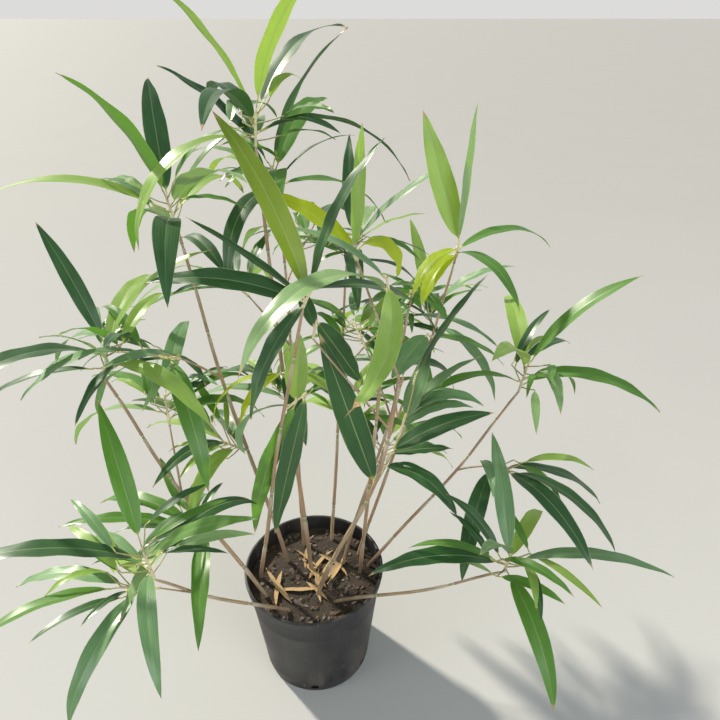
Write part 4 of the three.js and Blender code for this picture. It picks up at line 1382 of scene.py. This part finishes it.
def makeSoil(finish):
    s, n = soilForm, soilForm["segments"]
    edge = soilWall(soilTop + s["edgeRise"])
    points = [(0, 0, soilHeight(0, 0) * mm)]
    for i in range(1, s["rings"] + 1):
        points += [(x * mm, y * mm, soilHeight(x, y) * mm) for x, y in circle(edge * i / s["rings"], n)]
    for r, z in ((soilWall(s["waist"]), s["waist"]), (soilWall(s["floor"]) - s["bottomIn"], s["floor"])):
        points += [(x * mm, y * mm, z * mm) for x, y in circle(r, n)]
    faces = [(0, 1 + k, 1 + (k + 1) % n) for k in range(n)]
    for i in range(s["rings"] + 1):
        for k in range(n):
            a, b = 1 + i * n + k, 1 + i * n + (k + 1) % n
            faces.append((a, a + n, b + n, b))
    last = 1 + (s["rings"] + 1) * n
    faces.append(tuple(last + k for k in reversed(range(n))))
    mesh = newMesh("soil_fill", points, faces, finish)
    shade(mesh)
    rideFrame("soil_fill", mesh, "potting_mix", "potting_mix")


def dropPlace(edge, chance):                           # by chance, and even over a round of that radius
    r, angle = edge * math.sqrt(chance.random()), chance.uniform(0, 2 * math.pi)
    return r * math.cos(angle), r * math.sin(angle)


# Bark chips: flat six-sided prisms, some of them small
chipForm = {
    "seed": 31, "count": 620, "size": (3, 13), "small": 0.6, "flat": (0.18, 0.42), "long": (1.0, 2.4),
    "edge": 132, "clear": 6, "sides": 6, "pinch": (0.86, 0.74), "wide": (0.75, 1.05), "turnDraw": 0.25,
    "tilt": 0.35, "fullTurn": 6.28, "lift": 0.08,
}
chipTones = {
    "chip_dark": ((0.020, 0.012, 0.008), (0.070, 0.040, 0.024)),
    "chip_brown": ((0.060, 0.032, 0.018), (0.170, 0.095, 0.055)),
    "chip_grey": ((0.075, 0.062, 0.050), (0.210, 0.180, 0.150)),
}


def chipPoints(chance, size):
    c = chipForm
    long, flat = chance.uniform(*c["long"]), chance.uniform(*c["flat"])
    ring = []
    for level, pinch in zip((-1, 1), c["pinch"]):
        for k in range(c["sides"]):
            angle = 2 * math.pi * (k + chance.uniform(-c["turnDraw"], c["turnDraw"])) / c["sides"]
            wide = chance.uniform(*c["wide"]) * pinch * size / 2
            across, along = math.sin(angle) * wide, math.cos(angle) * wide * long
            ring.append(Vector((along, across, level * flat * size / 2)))
    return ring


def makeChips(finishes):
    c = chipForm
    chance = random.Random(c["seed"])
    shape = Shape()
    n = c["sides"]
    faces = [tuple(range(n - 1, -1, -1)), tuple(range(n, 2 * n))]
    faces += [(k, (k + 1) % n, n + (k + 1) % n, n + k) for k in range(n)]
    for _ in range(c["count"]):
        x, y = dropPlace(c["edge"], chance)
        size = chance.uniform(*c["size"]) * (1 if chance.random() < 0.5 else c["small"])
        feet = [cane["foot"] for cane in canes.values()]
        if any(math.hypot(x - footX, y - footY) < c["clear"] + size for footX, footY in feet):
            continue
        tilts = [chance.uniform(-c["tilt"], c["tilt"]) for _ in range(2)]
        turn = Euler((*tilts, chance.uniform(0, c["fullTurn"])))
        points = chipPoints(chance, size)
        place = Vector((x, y, soilHeight(x, y) + size * c["lift"]))
        for point in points:
            point.rotate(turn)
        shape.add([point + place for point in points], faces, finish=chance.randrange(len(finishes)))
    shade(shape.piece("bark_chips", finishes, "potting_mix").data, False)


litterForm = {
    "seed": 41, "count": 15, "edge": 88, "reach": 134, "lift": 6, "clear": 1.0, "length": (60, 120),
    "width": (0.1, 0.15), "rise": (2, 9), "bend": (4, 22), "sweep": 40, "roll": 25, "curl": 90,
}


def makeLitter(finish):
    form = litterForm
    chance = random.Random(form["seed"])
    shape = Shape()
    done = 0
    while done < form["count"]:
        x, y = dropPlace(form["edge"], chance)
        length = chance.uniform(*form["length"])
        leaf = {
            "heading": chance.uniform(0, 360), "rise": chance.uniform(*form["rise"]),
            "bend": chance.uniform(*form["bend"]), "length": length,
            "width": length * chance.uniform(*form["width"]),
            "sweep": chance.uniform(-form["sweep"], form["sweep"]),
            "roll": chance.uniform(-form["roll"], form["roll"]),
            "root": Vector((x, y, soilTop + form["lift"])), "curl": form["curl"],
        }
        if max(math.hypot(point.x, point.y) for point in arc(leaf["root"], leaf, 4)) > form["reach"]:
            continue
        points = leafSurface(leaf, chance)
        points[:, 2] += [max(0.0, soilHeight(x, y) + form["clear"] - z) for x, y, z in points]
        addLeaf(shape, points, done, (2, form["count"]), 0, 0, 1)
        done += 1
    shape.piece("fallen_leaves", [finish], "leaf")


makeSoil(makeSoilFinish())
makeChips([makeChipFinish(name, *tones) for name, tones in chipTones.items()])
makeLitter(dryFinish)
print("pot, soil and litter made")
